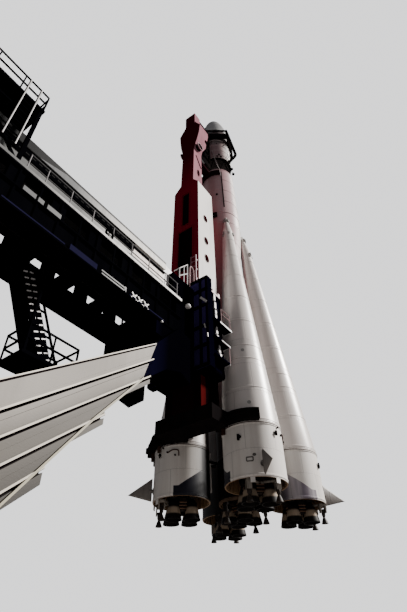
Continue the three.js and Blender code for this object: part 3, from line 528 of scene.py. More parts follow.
def rods(starts, ends, radius, sides=10):
    """Round rods: corner = end + its circle's offset, at both ends of every rod."""
    starts, ends, forward = both_ends(starts, ends)
    helper = np.where(np.abs(forward[:, 2:]) > 0.9, (1.0, 0.0, 0.0), (0.0, 0.0, 1.0))
    offset = circle_round(forward, helper, radius, sides)
    points = np.concatenate([starts[:, None] + offset, ends[:, None] + offset], axis=1)
    around = np.arange(sides)
    after = (around + 1) % sides
    pattern = np.stack([around, after, after + sides, around + sides], axis=-1)
    first = np.arange(len(points))[:, None, None] * 2 * sides
    quads = (first + pattern).reshape(-1, 4)
    caps = [rod * 2 * sides + around[::-1] for rod in range(len(points))]
    caps += [rod * 2 * sides + sides + around for rod in range(len(points))]
    return points.reshape(-1, 3), quads, np.zeros((len(quads), 4, 2)), caps


def ring_band(inner, outer, z0, z1, segments=64):
    """A flat-sided ring: a rectangle swept round the axis."""
    return revolve([(inner, z0), (outer, z0), (outer, z1), (inner, z1)], segments, closed=True)


bay = np.arange(8) * 45.0
half_bay = bay + 22.5
gusset_turn = np.concatenate([bay, half_bay])
gusset = on_ring(TRUSS_RADIUS, gusset_turn, np.repeat([26.66, 28.14], 8))
tangent = on_ring(0.15, gusset_turn + 90.0, 0.0)
tube_feet = [on_ring(share * TRUSS_RING, bay, z) for share, z in ((0.9, 26.54), (0.97, 26.62))]
truss = [
    rods(on_ring(TRUSS_RADIUS, bay, TRUSS_FOOT), on_ring(TRUSS_RADIUS, half_bay, TRUSS_HEAD), 0.05),
    rods(on_ring(TRUSS_RADIUS, half_bay, TRUSS_HEAD), on_ring(TRUSS_RADIUS, bay + 45.0, TRUSS_FOOT), 0.05),
    ring_band(1.13, TRUSS_RING, 26.505, TRUSS_FOOT),
    ring_band(1.13, TRUSS_RING, 28.21, 28.295),
    rods(*tube_feet, 0.09, 6),
    bars(gusset - tangent, gusset + tangent, 0.03, 0.16, on_ring(1.0, gusset_turn, 0.0)),
]
add_piece("interstage_tubes", truss, black_paint, "black_steel", "interstage_truss")
stage_share = np.linspace(0, 1, 14)
stage_bell = as_points(0.13 + 0.42 * stage_share**0.62, 28.0 - 0.92 * stage_share)
stage_bell = np.vstack([stage_bell - (0.03, 0.0), stage_bell[::-1], [(0.13, 28.29)]])
# The bell's black is partly its dark metal and partly painted shade inside the truss.
add_piece("upper_stage_bell", [revolve(stage_bell, 48)], black_paint, "engine_metal")

# Upper stage and fairing barrel: short white drums with flanged joints, a row of small round
# vents under the fairing, and black lugs on the lower drum.
DRUM_RADIUS = 1.33
STAGE_FOOT, STAGE_HEAD, BARREL_HEAD = 28.3, 31.0, 33.2
flange = {"rise": 0.018, "width": 0.09}
stage_skin = [(DRUM_RADIUS, STAGE_FOOT), (DRUM_RADIUS, STAGE_HEAD)]
stage_skin = banded(stage_skin, [28.36, 28.75, 29.55, 30.4, 30.93], **flange)
barrel_skin = [(DRUM_RADIUS, STAGE_HEAD), (DRUM_RADIUS, BARREL_HEAD)]
barrel_skin = banded(barrel_skin, [31.07, 31.6, 32.6, 33.12], **flange)


def stage_tint(tree):
    """White, with painted shade: dusky maroon by the mast, partly a painted reflection of its red, a
    near-black maroon painted shadow under the grip frame's collar, and black underneath.
    """
    side = off_mast(tree)
    shade = blend(ramp(side, -0.5, -1.02), WHITE, (0.23, 0.10, 0.12))
    # Painted shadow under the grip frame's collar.
    collar = times(ramp(located(tree, 2), 30.3, 31.0), ramp(side, 0.55, -0.1))
    shade = blend(collar, shade, (0.02, 0.008, 0.011))
    # Painted shade: black on the faces turned down.
    return blend(under(facing(tree, 2), -0.8), shade, SHADE_BLACK)


stage_paint = paint(
    "white paint on the stage drums", stage_tint, WARM_GRIME, 0.42, gloss=(0.25, 0.4), panel=(1.05, 0.9, 0.1)
)
add_piece("upper_stage_drum", [revolve(stage_skin, 96)], stage_paint, "rocket_skin", "upper_stage")
add_piece("fairing_barrel_drum", [revolve(barrel_skin, 96)], stage_paint, "rocket_skin", "fairing_barrel")
vent_turn = np.arange(12) * 30.0 + 8.0
vents = rods(on_ring(DRUM_RADIUS, vent_turn, 30.66), on_ring(DRUM_RADIUS + 0.02, vent_turn, 30.66), 0.055, 14)
lug_turn = np.array([44.0, 62.0])
stage_lugs = bars(
    on_ring(1.335, lug_turn, 28.56), on_ring(1.335, lug_turn, 28.82), 0.03, 0.2, on_ring(1.0, lug_turn, 0.0)
)
add_piece("stage_vents_and_lugs", [vents, stage_lugs], black_paint, "black_steel")

# Cable duct and lines: a black duct down the upper core, a pale conduit over the truss and the
# stage, a wire hoop round the drum, two lamps on a stalk, and brackets bolted to the skin.


def tube(path, radius, sides=8):
    """A round tube along a path: ring i = point i of the path + its circle's offsets."""
    path = np.asarray(path, float)
    forward = unit(np.gradient(path, axis=0))
    helper = np.eye(3)[np.argmin(np.ptp(path, axis=0))]
    return grid_shape(path[:, None] + circle_round(forward, helper, radius, sides))


def curve_through(points, count):
    """A smooth path: Catmull-Rom, each point and its neighbours weighted by cubics in t."""
    points = np.asarray(points, float)
    padded = np.vstack([2 * points[0] - points[1], points, 2 * points[-1] - points[-2]])
    place = np.linspace(0, len(points) - 1, count)
    index = np.minimum(place.astype(int), len(points) - 2)
    t = (place - index)[:, None]
    a, b, c, d = (padded[index + k] for k in range(4))
    return 0.5 * (2 * b + (c - a) * t + (2 * a - 5 * b + 4 * c - d) * t**2 + (3 * b - a - 3 * c + d) * t**3)


def pipe(points, radius, count, sides=8):
    """A round pipe bent smoothly through points, in count rings."""
    return tube(curve_through(points, count), radius, sides)


def turned(shape, degrees, out=(0.0, 0.0, 0.0)):
    """The shape moved by out, then turned by degrees about the rocket's axis."""
    vertices, quads, uv, ends = shape
    angle = np.radians(degrees)
    turn = np.array([[np.cos(angle), -np.sin(angle), 0], [np.sin(angle), np.cos(angle), 0], [0, 0, 1]])
    return (vertices + np.asarray(out, float)) @ turn.T, quads, uv, ends


def ring_rows(rows):
    """Points from rows of (degrees, height, distance from the axis)."""
    degrees, height, reach = np.transpose(rows)
    return on_ring(reach, degrees, height)


HOOP_REACH, ON_DRUM = 1.5, 1.34
# Columns of these tables: degrees, height and distance from the axis.
hoop_rows = [
    (247.0, 30.68, ON_DRUM),
    (255.0, 30.6, HOOP_REACH),
    (264.0, 30.47, HOOP_REACH),
    (273.5, 30.13, HOOP_REACH),
    (272.0, 29.7, HOOP_REACH),
    (268.6, 29.27, HOOP_REACH),
    (260.0, 28.7, HOOP_REACH),
    (253.0, 28.3, ON_DRUM),
]
bracket_rows = np.array([
    (217.0, 28.46, ON_DRUM),
    (224.0, 28.75, ON_DRUM),
    (231.0, 28.46, ON_DRUM),
    (205.9, 22.71, 1.42),
    (163.6, 23.48, 1.40),
])
conduit_rows = [
    (198.6, 29.46, 1.38),
    (204.0, 28.6, 1.39),
    (210.7, 27.4, 1.40),
    (220.4, 26.27, 1.39),
    (224.1, 25.3, 1.39),
]
duct_height = np.linspace(21.05, 26.0, 14)
duct_reach = 1.01 * np.interp(duct_height, [WIDEST_HEAD, CORE_HEAD], [CORE_WIDEST, NECK_RADIUS])
lamp_spots = np.array([(0.62, -1.24, 28.2), (0.65, -1.31, 27.37)])
lamp_profile = [(0.01, -0.13), (0.07, -0.115), (0.12, -0.05), (0.13, 0.02)]
lamp_profile += [(0.09, 0.1), (0.03, 0.14), (0.01, 0.15)]
brackets = ring_rows(bracket_rows)
black_lines = [
    tube(on_ring(duct_reach, 226.0, duct_height), 0.045),
    pipe(ring_rows(hoop_rows), 0.022, 40, 6),
    *(turned(revolve(lamp_profile, 16), 0, spot) for spot in lamp_spots),
    rods([(0.57, -1.15, 28.25)], [lamp_spots[1]], 0.02, 6),
    bars(brackets - (0, 0, 0.09), brackets + (0, 0, 0.09), 0.1, 0.14, on_ring(1.0, bracket_rows[:, 0], 0.0)),
]
add_piece("upper_ducts_and_lamps", black_lines, black_paint, "black_steel")
conduit = pipe(ring_rows(conduit_rows), 0.03, 28)
drum_line = tube(on_ring(1.37, np.linspace(192, 244, 20), 31.18), 0.03)
conduit_paint = paint("pale conduit paint", (0.42, 0.36, 0.36), (0.12, 0.08, 0.08), 0.4)
add_piece("upper_conduit", [conduit, drum_line], conduit_paint, "rocket_skin")

# Nose fairing: a blunt grey dome of sheet in two half shells, with a pale seam down each side
# and a ring of bolts at its foot. Its outline is r^1.6 + h^1.6 = 1 in shares of its size.
NOSE_HEIGHT = 3.9
nose_tint = painted_by_height([
    (BARREL_HEAD, (0.42, 0.42, 0.42)),
    (33.62, (0.33, 0.325, 0.33)),
    (35.9, (0.30, 0.295, 0.30)),
])
nose_paint = paint(
    "grey fairing paint", nose_tint, (0.12, 0.11, 0.11), 0.3, gloss=(0.3, 0.5), panel=(1.57, 1.05, 0.1)
)
nose_turn = np.linspace(0, np.pi / 2, 30)[:-1]
out_share, up_share = np.cos(nose_turn) ** 1.25, np.sin(nose_turn) ** 1.25
nose_line = as_points(DRUM_RADIUS * out_share, BARREL_HEAD + NOSE_HEIGHT * up_share)
nose_line = np.vstack([nose_line, [(0.01, BARREL_HEAD + NOSE_HEIGHT)]])
nose_line = banded(nose_line, [33.28, 34.6, 35.9], rise=0.012)
add_piece("nose_shells", [revolve(nose_line, 96)], nose_paint, "nose_grey", "nose_fairing")
grey_primer = paint("grey primer", (0.30, 0.29, 0.28), (0.08, 0.07, 0.07), 0.5)
seam_height = np.linspace(33.3, 36.95, 20)
seam_radius = np.interp(seam_height, nose_line[:, 1], nose_line[:, 0]) - 0.004
foot_turn = np.arange(36) * 10.0 + 5.0
seams = [tube(on_ring(seam_radius, degrees, seam_height), 0.016, 6) for degrees in (0.0, 180.0)]
seams.append(rods(on_ring(DRUM_RADIUS, foot_turn, 33.35), on_ring(1.352, foot_turn, 33.35), 0.018, 6))
add_piece("nose_split_lines", seams, grey_primer, "nose_grey")

# Boosters: tall cones of riveted skin that lean in on the core, each hung by a ball at its
# tip. Ring frames, a cable duct, lugs and small access covers break up the smooth cone.
AZIMUTHS = {"a": 225.0, "b": 135.0, "c": 45.0, "d": 315.0}
REACH = 2.82
BOOSTER_RADIUS = 1.34
TAIL_TOP, CONE_TOP, TIP_TOP = 2.4, 17.6, 19.2
TIP_RADIUS = 0.36


def lean(height):
    """Inward shift of the cone's centre: it moves 1.2 m from the tail's top at 2.4 m to 19.4 m."""
    return -1.2 * np.maximum(height - TAIL_TOP, 0) / 17.0


def on_booster(degrees, height, rise=0.0):
    """Points on a booster's skin in its own frame: X is outward, and so is 0 degrees.

    The skin's radius is steady along the tail, then falls straight to the cone's top.
    """
    turn, height = np.radians(degrees), np.asarray(height, float)
    levels = [TAIL_TOP, CONE_TOP, TIP_TOP]
    radius = np.interp(height, levels, [BOOSTER_RADIUS, TIP_RADIUS, 0.12]) + rise
    return as_points(lean(height) + radius * np.cos(turn), radius * np.sin(turn), height)


def lugs(degrees, low, high, rise, width, depth, sideways=None):
    """Upright bars on a booster's skin, from low to high."""
    return bars(on_booster(degrees, low, rise), on_booster(degrees, high, rise), width, depth, sideways)


def stand_off(degrees, height, low, high, radius, sides):
    """Round studs on a booster's skin, from low to high above it."""
    return rods(on_booster(degrees, height, low), on_booster(degrees, height, high), radius, sides)


def add_on_boosters(label, shapes, finish, slot, *stands_for):
    """A like piece on each booster, from shapes in the booster's own frame."""
    for letter, azimuth in AZIMUTHS.items():
        placed = [turned(shape, azimuth, (REACH, 0, 0)) for shape in shapes]
        nodes = [f"booster_{letter}_{node}" for node in stands_for]
        add_piece(f"booster_{letter}_{label}", placed, finish, slot, *nodes)


SIDES = (1, -1)
ball_turn = np.linspace(-1.2, np.pi / 2 - 0.05, 9)
ball = as_points(0.1 * np.cos(ball_turn), 19.38 + 0.1 * np.sin(ball_turn))
cone_line = [(BOOSTER_RADIUS, TAIL_TOP), (TIP_RADIUS, CONE_TOP)]
cone_line = banded(cone_line, [2.5, 4.2, 5.93, 6.8, 8.6, 10.6, 12.6, 14.6, 16.4], width=0.08)
cone_line = np.vstack([cone_line, [(TIP_RADIUS, 17.62), (0.2, 18.6), (0.12, 19.18), (0.06, 19.24)], ball])
cone_line = cone_line[np.argsort(cone_line[:, 1], kind="stable")]
add_on_boosters("cone", [revolve(cone_line, 80, lean)], skin_paint, "rocket_skin", "body")
tip_lugs = [-70.0, -35.0, 0.0, 40.0, 75.0]
cone_fittings = [
    tube(on_booster(104.0, np.linspace(2.6, 16.8, 30), 0.02), 0.045, 6),
    stand_off([-14.0, -14.0, 60.0], [6.4, 3.3, 3.3], -0.02, 0.012, 0.09, 18),
    lugs([-57.0, 57.0, 180.0], 17.05, 17.4, 0.03, 0.08, 0.14),
    bars([(-1.3, s * 0.13, 18.7) for s in SIDES], [(-1.24, s * 0.1, 19.3) for s in SIDES], 0.05, 0.09),
    bars(on_booster(tip_lugs, 18.82, 0.02), on_booster(tip_lugs, 19.1, 0.05), 0.07, 0.12),
    lugs([-2.0, -66.0], [17.1, 16.95], [17.3, 17.15], 0.03, 0.12, 0.08),
]
add_on_boosters("fittings", cone_fittings, grey_primer, "nose_grey")

# Booster tails: open skirts of riveted sheet with a row of ribs and ochre primer inside, and a
# dark blue panel on the sides that face the neighbours. Hatches, lugs, a strap and a boss for
# the fin are riveted on.
SKIRT_INSIDE = 1.28
RIM_ALONG = 3.42
FIN_SHAFT_Z = 0.52
NAVY_PANEL = (0.004, 0.0035, 0.012)
DEEP_INSIDE = (0.03, 0.022, 0.02)


def skirt_tint(tree):
    """Paint by place on the skirt's UV: across is the angle from the outward side, up is the
    way along the wall, which is 3.42 m at the rim's outer edge.

    Ochre up to there, blue where the angle passes 66 degrees below a slanting edge, else white,
    with a painted shade of black on the side that faces the core, more of it on the two boosters
    of the far side. The blue is near black on the boosters by the mast, a painted shade, and pale
    with streaks on those away from the mast, painted sunlight.
    """
    across, along, _ = split(sheet_place(tree))
    angle = minus(np.pi, maths("ABSOLUTE", minus(across, np.pi)))
    height = minus(along, RIM_ALONG)
    panel_top = maths("MAXIMUM", line(angle, 0.9, -0.76), 0.45)
    streaks = noise(upright(object_place(tree), 0.08), 7.0, 2.0)
    # The pale streaked blue is painted sunlight on the panel; the near-black blue is painted shade.
    worn = blend(ramp(streaks, 0.45, 0.62), (0.17, 0.145, 0.18), (0.30, 0.275, 0.30))
    panel = blend(ramp(located(tree, 0), -0.6, 0.6), NAVY_PANEL, worn)
    skirt = blend(times(under(height, panel_top), over(angle, 1.16)), WHITE, panel)
    # Painted shade: black on the side that faces the core.
    far_side = times(over(located(tree, 1), 0.0), line(over(located(tree, 0), 0.0), 0.5, 0.25))
    skirt = blend(ramp(plus(angle, far_side), 2.05, 2.5), skirt, SHADE_BLACK)
    inner = blend(ramp(height, -0.5, -1.3), OCHRE, DEEP_INSIDE)
    return blend(under(height, 0.0), skirt, inner)


def frame_round(corners, width, depth, sideways):
    """Bars that join corners in a closed loop."""
    return bars(corners, np.roll(corners, -1, axis=0), width, depth, sideways)


def frame_on_skirt(degrees, height, wide, tall):
    """A rectangle of four thin bars laid on the skirt."""
    spread = np.degrees(wide / 2 / BOOSTER_RADIUS)
    low, high = height - tall / 2, height + tall / 2
    turns = [degrees - spread, degrees + spread, degrees + spread, degrees - spread]
    return frame_round(on_booster(turns, [low, low, high, high]), 0.03, 0.05, on_booster(degrees, 0.0))


skirt_paint = paint(
    "white skirt with blue panel, ochre inside",
    skirt_tint,
    (0.42, 0.34, 0.32),
    0.5,
    panel=(1.05, 1.15, 0.12),
    shine=0.3,
    stain=True,
)
skirt_line = np.vstack([
    [(0.02, 2.1), (SKIRT_INSIDE, 2.1), (SKIRT_INSIDE, 0.0), (BOOSTER_RADIUS, 0.0)],
    banded([(BOOSTER_RADIUS, 0.02), (BOOSTER_RADIUS, 2.36)], [0.09, 2.28], rise=0.02, width=0.1),
    [(BOOSTER_RADIUS, 2.39), (0.02, 2.39)],
])
add_on_boosters("skirt", [revolve(skirt_line, 96)], skirt_paint, "rocket_skin", "tail")
skirt_ribs = [rib_ring(SKIRT_INSIDE, 28, 0.05, 2.05, 0.06), ring_band(1.2, SKIRT_INSIDE, 0.95, 1.0, 72)]
add_on_boosters("skirt_ribs", skirt_ribs, ochre_primer, "rocket_skin")
skirt_fittings = [
    stand_off([33.0, -38.0], [1.93, 1.7], -0.02, 0.09, 0.06, 12),
    lugs([33.0, -41.0], [1.8, 1.55], [2.02, 1.82], 0.06, 0.05, 0.1),
    stand_off([69.0, 52.5, 41.5], [1.79, 1.97, 2.22], -0.02, 0.07, 0.04, 10),
    rods([(-1.31, s * 0.4, 1.85) for s in SIDES], [(1.1 - REACH, s * 0.16, 1.85) for s in SIDES], 0.07),
]
add_on_boosters("skirt_fittings", skirt_fittings, black_paint, "black_steel")
fin_boss = rods([(1.33, 0, FIN_SHAFT_Z)], [(1.37, 0, FIN_SHAFT_Z)], 0.14, 20)
skirt_covers = [fin_boss, frame_on_skirt(-23.6, 0.71, 0.27, 0.16), frame_on_skirt(-15.0, 0.88, 0.1, 0.06)]
cover_paint = paint("grey hatch covers", (0.10, 0.09, 0.085), (0.03, 0.025, 0.02), 0.5)
add_on_boosters("skirt_covers", skirt_covers, cover_paint, "nose_grey")
strap_paint = paint("brown strap", (0.05, 0.022, 0.018), (0.01, 0.006, 0.005), 0.4, shine=0.1)
strap_bend = on_booster([52.0, 64.0, 75.0, 76.5], [1.94, 2.05, 2.0, 1.75], 0.03)
skirt_strap = [ring_band(1.335, 1.368, 2.295, 2.325, 72), pipe(strap_bend, 0.03, 16)]
add_on_boosters("skirt_strap", skirt_strap, strap_paint, "black_steel")
tab_turn = [-23.5, -19.5, 24.3, 28.3]
white_trim = paint("white trim paint", WHITE, WARM_GRIME, 0.4)
skirt_tabs = [
    lugs(tab_turn, -0.2, 0.02, -0.02, 0.024, 0.1, on_booster(tab_turn, 0.0)),
    pipe(on_booster(168.4, [2.3, 1.6, 1.0, 0.45], 0.05), 0.035, 12),
]
add_on_boosters("skirt_tabs", skirt_tabs, white_trim, "rocket_skin")

# Engines: four ribbed bells under one block of pumps, with domed chamber heads, brown feed
# pipes, a ring pipe, and forks for the steering chambers, in stained pale paint on the
# boosters. The rest is sooty steel, welded and bolted together.
bell_share = np.linspace(0, 1, 15)
bell_outer = as_points(0.11 + 0.27 * bell_share**0.66, 0.08 - 0.88 * bell_share)
ridges = as_points(0.008 * (np.arange(15) % 2), 0.0)
bell_line = np.vstack([
    [(0.01, 0.1), (0.075, 0.08)],
    bell_outer[1:] - (0.02, 0.0),
    (bell_outer + ridges)[::-1],
    [(0.19, 0.22), (0.2, 0.26), (0.2, 0.62), (0.15, 0.71), (0.01, 0.75)],
])


def bell_tint(tree):
    """Dark metal with a pale band round the middle, a painted highlight; black soot inside.

    The UV runs up from the inner pole; the lip is 1.0 m along, and the throat 1.98 m.
    """
    along = split(sheet_place(tree))[1]
    # Painted highlight: the pale band.
    band = times(ramp(along, 1.24, 1.31), ramp(along, 1.60, 1.50))
    shade = blend(band, (0.003, 0.002, 0.002), (0.34, 0.26, 0.19))
    return blend(over(along, 1.0), (0.0015, 0.001, 0.001), shade)


SCORCH = (0.012, 0.008, 0.007)
sooty = {"streaks": 12.0, "gloss": (0.5, 0.7), "shine": 0.1}
bell_steel = paint("engine bells", bell_tint, SCORCH, 0.5, streaks=9.0, gloss=(0.45, 0.6), shine=0.1)
pump_paint = paint("dark engine pumps", (0.006, 0.004, 0.004), (0.05, 0.026, 0.014), 0.5, **sooty)
fork_paint = paint("stained pale fork paint", (0.26, 0.23, 0.20), SCORCH, 0.8, **sooty)
pipe_copper = paint(
    "brown feed pipes",
    (0.14, 0.075, 0.045),
    (0.02, 0.015, 0.012),
    0.6,
    streaks=12.0,
    gloss=(0.3, 0.5),
    metallic=0.6,
)
QUARTERS = np.array([(1, 1), (1, -1), (-1, -1), (-1, 1)]) * 0.42
CORE_STEER = (1.25, 0.0, -0.42)
BOOSTER_STEER = [(0.97, side * 0.606, -0.3) for side in SIDES]


def fork(out, side, pivot):
    """Two cheeks, a bridge and a bent arm from the pumps that hold one steering chamber."""
    top = pivot + 0.2
    x = out + np.array([0.125, -0.125])
    low, high = ([(a, side, z) for a in x] for z in (pivot - 0.1, top + 0.05))
    bend = [(0.3, 0, top + 0.11), (0.52, side * 0.1, top + 0.11)]
    bend += [(0.75, side * 0.55, top + 0.1), (out, side, top + 0.08)]
    return [
        bars(low, high, 0.05, 0.2, (1, 0, 0)),
        bars([(out - 0.15, side, top + 0.04)], [(out + 0.15, side, top + 0.04)], 0.2, 0.08, (0, 1, 0)),
        pipe(bend, 0.055, 14),
    ]


def pump_block(top):
    """A stepped block of pumps up to top, with a ring pipe and two bent pipes to each bell."""
    steps = [(0.01, -0.2), (0.24, -0.2), (0.3, -0.16), (0.32, 0.3), (0.46, 0.32), (0.52, 0.4)]
    steps += [(0.52, top), (0.01, top)]
    turn = np.linspace(0, 2 * np.pi, 8, endpoint=False)
    ring = as_points(0.56 + 0.05 * np.cos(turn), 0.62 + 0.05 * np.sin(turn))
    shapes = [revolve(steps, 32), revolve(ring, 48, closed=True)]
    high_bend = np.array([(0.6, 0.6, 1.0), (1.15, 0.75, 0.95), (1.3, 1.1, 0.78), (1.05, 1.05, 0.7)])
    low_bend = np.array([(1.1, 0.2, 0.62), (1.35, 0.4, 0.42), (1.3, 0.8, 0.25), (1.05, 1.0, 0.12)])
    for x, y in QUARTERS:
        shapes += [pipe(high_bend * (x, y, 1), 0.05, 16), pipe(low_bend * (x, y, 1), 0.032, 16)]
    return shapes


main_bells = [turned(revolve(bell_line, 40), 0, (x, y, 0)) for x, y in QUARTERS]
feed_pipes = [
    pipe([(*a, 0.66), (*(0.625 * (a + b)), 0.78), (*b, 0.66)], 0.04, 14)
    for a, b in zip(QUARTERS, np.roll(QUARTERS, -1, axis=0))
]
gap_boxes = []
for out in np.array([(1, 0, 0), (0, 1, 0), (-1, 0, 0), (0, -1, 0)]):
    middle = out * 0.4
    gap_boxes.append(bars(middle + (0, 0, -0.40), middle + (0, 0, 0.12), 0.26, 0.3, out))
    across = np.abs(out[[1, 0, 2]]) * 0.17
    rows = out * 0.55 + np.array([(0, 0, -0.33), (0, 0, -0.2), (0, 0, -0.07)])
    feed_pipes.append(rods(rows - across, rows + across, 0.03, 8))
core_forks = [turned(shape, turn) for turn in (0, 90, 180, 270) for shape in fork(*CORE_STEER)]
booster_forks = [shape for place in BOOSTER_STEER for shape in fork(*place)]
add_piece("core_bells", main_bells, bell_steel, "engine_metal", "core_engine")
add_piece("core_pumps", pump_block(1.69) + core_forks + gap_boxes, pump_paint, "engine_metal")
add_piece("core_pipes", feed_pipes, pipe_copper, "engine_metal")
add_on_boosters("bells", main_bells, bell_steel, "engine_metal", "engine")
add_on_boosters("pumps", pump_block(2.09) + gap_boxes, pump_paint, "engine_metal")
add_on_boosters("forks", booster_forks, fork_paint, "engine_metal")
add_on_boosters("pipes", feed_pipes, pipe_copper, "engine_metal")

# Steering chambers: small bells of dark spun steel, each with a thin feed pipe down its side.
# They swing on short trunnions between the forks' cheeks.
small_share = np.linspace(0, 1, 9)
small_bell = as_points(0.05 + 0.105 * small_share**0.8, -0.29 - 0.27 * small_share)
small_line = np.vstack([
    [(0.01, -0.28), (0.03, -0.3)],
    small_bell[1:] - (0.014, 0.0),
    small_bell[::-1],
    [(0.085, -0.22), (0.088, -0.12), (0.085, 0.0), (0.05, 0.06), (0.01, 0.07)],
])
feed_bend = [(0.0, 0.08, -0.02), (0.0, 0.115, -0.12), (0.0, 0.085, -0.26), (0.0, 0.07, -0.31)]
chamber = [
    revolve(small_line, 24),
    rods([(-0.098, 0, 0)], [(0.098, 0, 0)], 0.06, 16),
    pipe(feed_bend, 0.014, 12, 6),
]
chamber_steel = paint(
    "dark chamber steel", (0.012, 0.009, 0.008), (0.05, 0.03, 0.02), 0.6, gloss=(0.45, 0.6), shine=0.2
)
chambers = {f"core_steering_{index + 1}": (CORE_STEER, 90.0 * index) for index in range(4)}
for letter, azimuth in AZIMUTHS.items():
    for index, place in enumerate(BOOSTER_STEER):
        chambers[f"booster_{letter}_steering_{index + 1}"] = (np.add(place, (REACH, 0, 0)), azimuth)
for name, (place, azimuth) in chambers.items():
    shapes = [turned(shape, azimuth, place) for shape in chamber]
    add_piece(f"{name}_bell", shapes, chamber_steel, "engine_metal", name, body=name)

# Steering fins: thin triangles of sheet over a frame, each with a sharp leading edge, rows of
# rivets and a round shaft into the skirt.
FIN_EDGE = np.array([(1.4, 0.05), (2.5, 0.3), (1.4, 1.1)])
FIN_HALF, FIN_SHARP = 0.045, 0.006
fin_middle = FIN_EDGE.mean(axis=0)
fin_inner = fin_middle + (FIN_EDGE - fin_middle) * 0.8
fin_inner[[0, 2], 0] = 1.4
fin_layers = [(fin_inner, FIN_HALF), (FIN_EDGE, FIN_SHARP), (FIN_EDGE, -FIN_SHARP), (fin_inner, -FIN_HALF)]
fin_rings = np.stack([as_points(outline[:, 0], half, outline[:, 1]) for outline, half in fin_layers])
fin_shapes = [
    grid_shape(fin_rings, uv=fin_rings[..., [0, 2]][:, [0, 1, 2, 0]]),
    rods([(1.371, 0, FIN_SHAFT_Z)], [(1.52, 0, FIN_SHAFT_Z)], 0.08, 20),
    bars([(1.42, 0, 0.12)], [(1.42, 0, 1.02)], 0.05, 0.1),
]
fin_coat = {"panel": (0.36, 0.36, 0.06), "gloss": (0.35, 0.55)}
fin_paint = paint("grey fin paint", (0.20, 0.18, 0.17), (0.07, 0.055, 0.05), 0.45, **fin_coat)
for letter, azimuth in AZIMUTHS.items():
    name = f"booster_{letter}_fin"
    shapes = [turned(shape, azimuth, (REACH, 0, 0)) for shape in fin_shapes]
    add_piece(f"{name}_blade", shapes, fin_paint, "fin_grey", name, body=name)

# Mast: welded box column of red-painted plate, with a pale painted sheen of sunlight on its
# sides, two hollows in its outer face painted black as shade, a narrower neck and a lobed head.
# Rims, frames and a ladder are welded on.
COLUMN_RED = (0.22, 0.0045, 0.019)
HEAD_RED = (0.056, 0.0008, 0.0055)
PALE_PINK = (0.30, 0.145, 0.175)
SIDE_SHEEN = (0.88, 0.85, 0.83)
HOLLOW_SHADE = (0.002, 0.0015, 0.0015)
RED_GRIME = (0.030, 0.002, 0.004)
ALONG_BEAM = (1.0, 0.0, 0.0)
FACE_FOOT, FACE_TOP = (9.2, -4.57), (20.35, -4.45)
FACE_LEAN = (FACE_TOP[1] - FACE_FOOT[1]) / (FACE_TOP[0] - FACE_FOOT[0])


def dress(finish, *nodes):
    """Gives carried-over nodes their finish."""
    for name in nodes:
        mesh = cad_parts[name].data
        mesh.materials.clear()
        mesh.materials.append(finish)


def sideways(tree):
    """1 where the surface faces along Y, to either side."""
    return over(maths("ABSOLUTE", facing(tree, 1)), 0.8)


def mast_tint(tree):
    """Pale outer sides, a painted sheen of sunlight on the red, deep red faces that darken upwards,
    and painted shade in black inside the hollows.
    """
    x, z, aside = located(tree, 0), located(tree, 2), maths("ABSOLUTE", located(tree, 1))
    red = blend(ramp(z, 19.5, 25.0), COLUMN_RED, HEAD_RED)
    # The pale sides are a painted sheen of sunlight.
    pale = blend(over(z, 20.35), SIDE_SHEEN, PALE_PINK)
    outermost = over(aside, line(over(z, 21.1), -0.5, 0.95))
    shade = blend(times(sideways(tree), outermost), red, pale)
    # Painted shade: black inside the hollows.
    depth = minus(x, line(z, FACE_LEAN, FACE_FOOT[1] - FACE_LEAN * FACE_FOOT[0]))
    hollow = times(over(depth, 0.04), under(x, -3.3), under(z, 20.3), under(aside, 0.93))
    return blend(hollow, shade, HOLLOW_SHADE)


def foot_tint(tree):
    """Near black, a painted shade over the red paint, which shows in a strip down each side's outer
    corner.
    """
    middle = under(maths("ABSOLUTE", located(tree, 1)), 0.62)
    shade = blend(middle, (0.004, 0.0025, 0.003), (0.010, 0.003, 0.005))
    strip = times(under(located(tree, 0), -4.2), sideways(tree))
    return blend(strip, shade, (0.05, 0.004, 0.004))


def oval_rim(x, z, width, height, y, thickness=0.022):
    """A welded rim round an oval hole in the mast's side: a thin tube along the ellipse."""
    turn = np.linspace(0, 2 * np.pi, 28, endpoint=False)
    ring = np.linspace(0, 2 * np.pi, 6, endpoint=False)
    middle = as_points(x + width / 2 * np.cos(turn), y, z + height / 2 * np.sin(turn))
    out = as_points(np.cos(turn), 0.0, np.sin(turn))
    spread = out[:, None] * np.cos(ring)[None, :, None] + np.array([0, 1.0, 0]) * np.sin(ring)[None, :, None]
    return grid_shape(middle[:, None] + thickness * spread, closed=True)


def on_outer_face(y, z):
    """A point a little proud of the mast's outer face, which leans in as it rises."""
    return (np.interp(z, *zip(FACE_FOOT, FACE_TOP)) - 0.015, y, z)


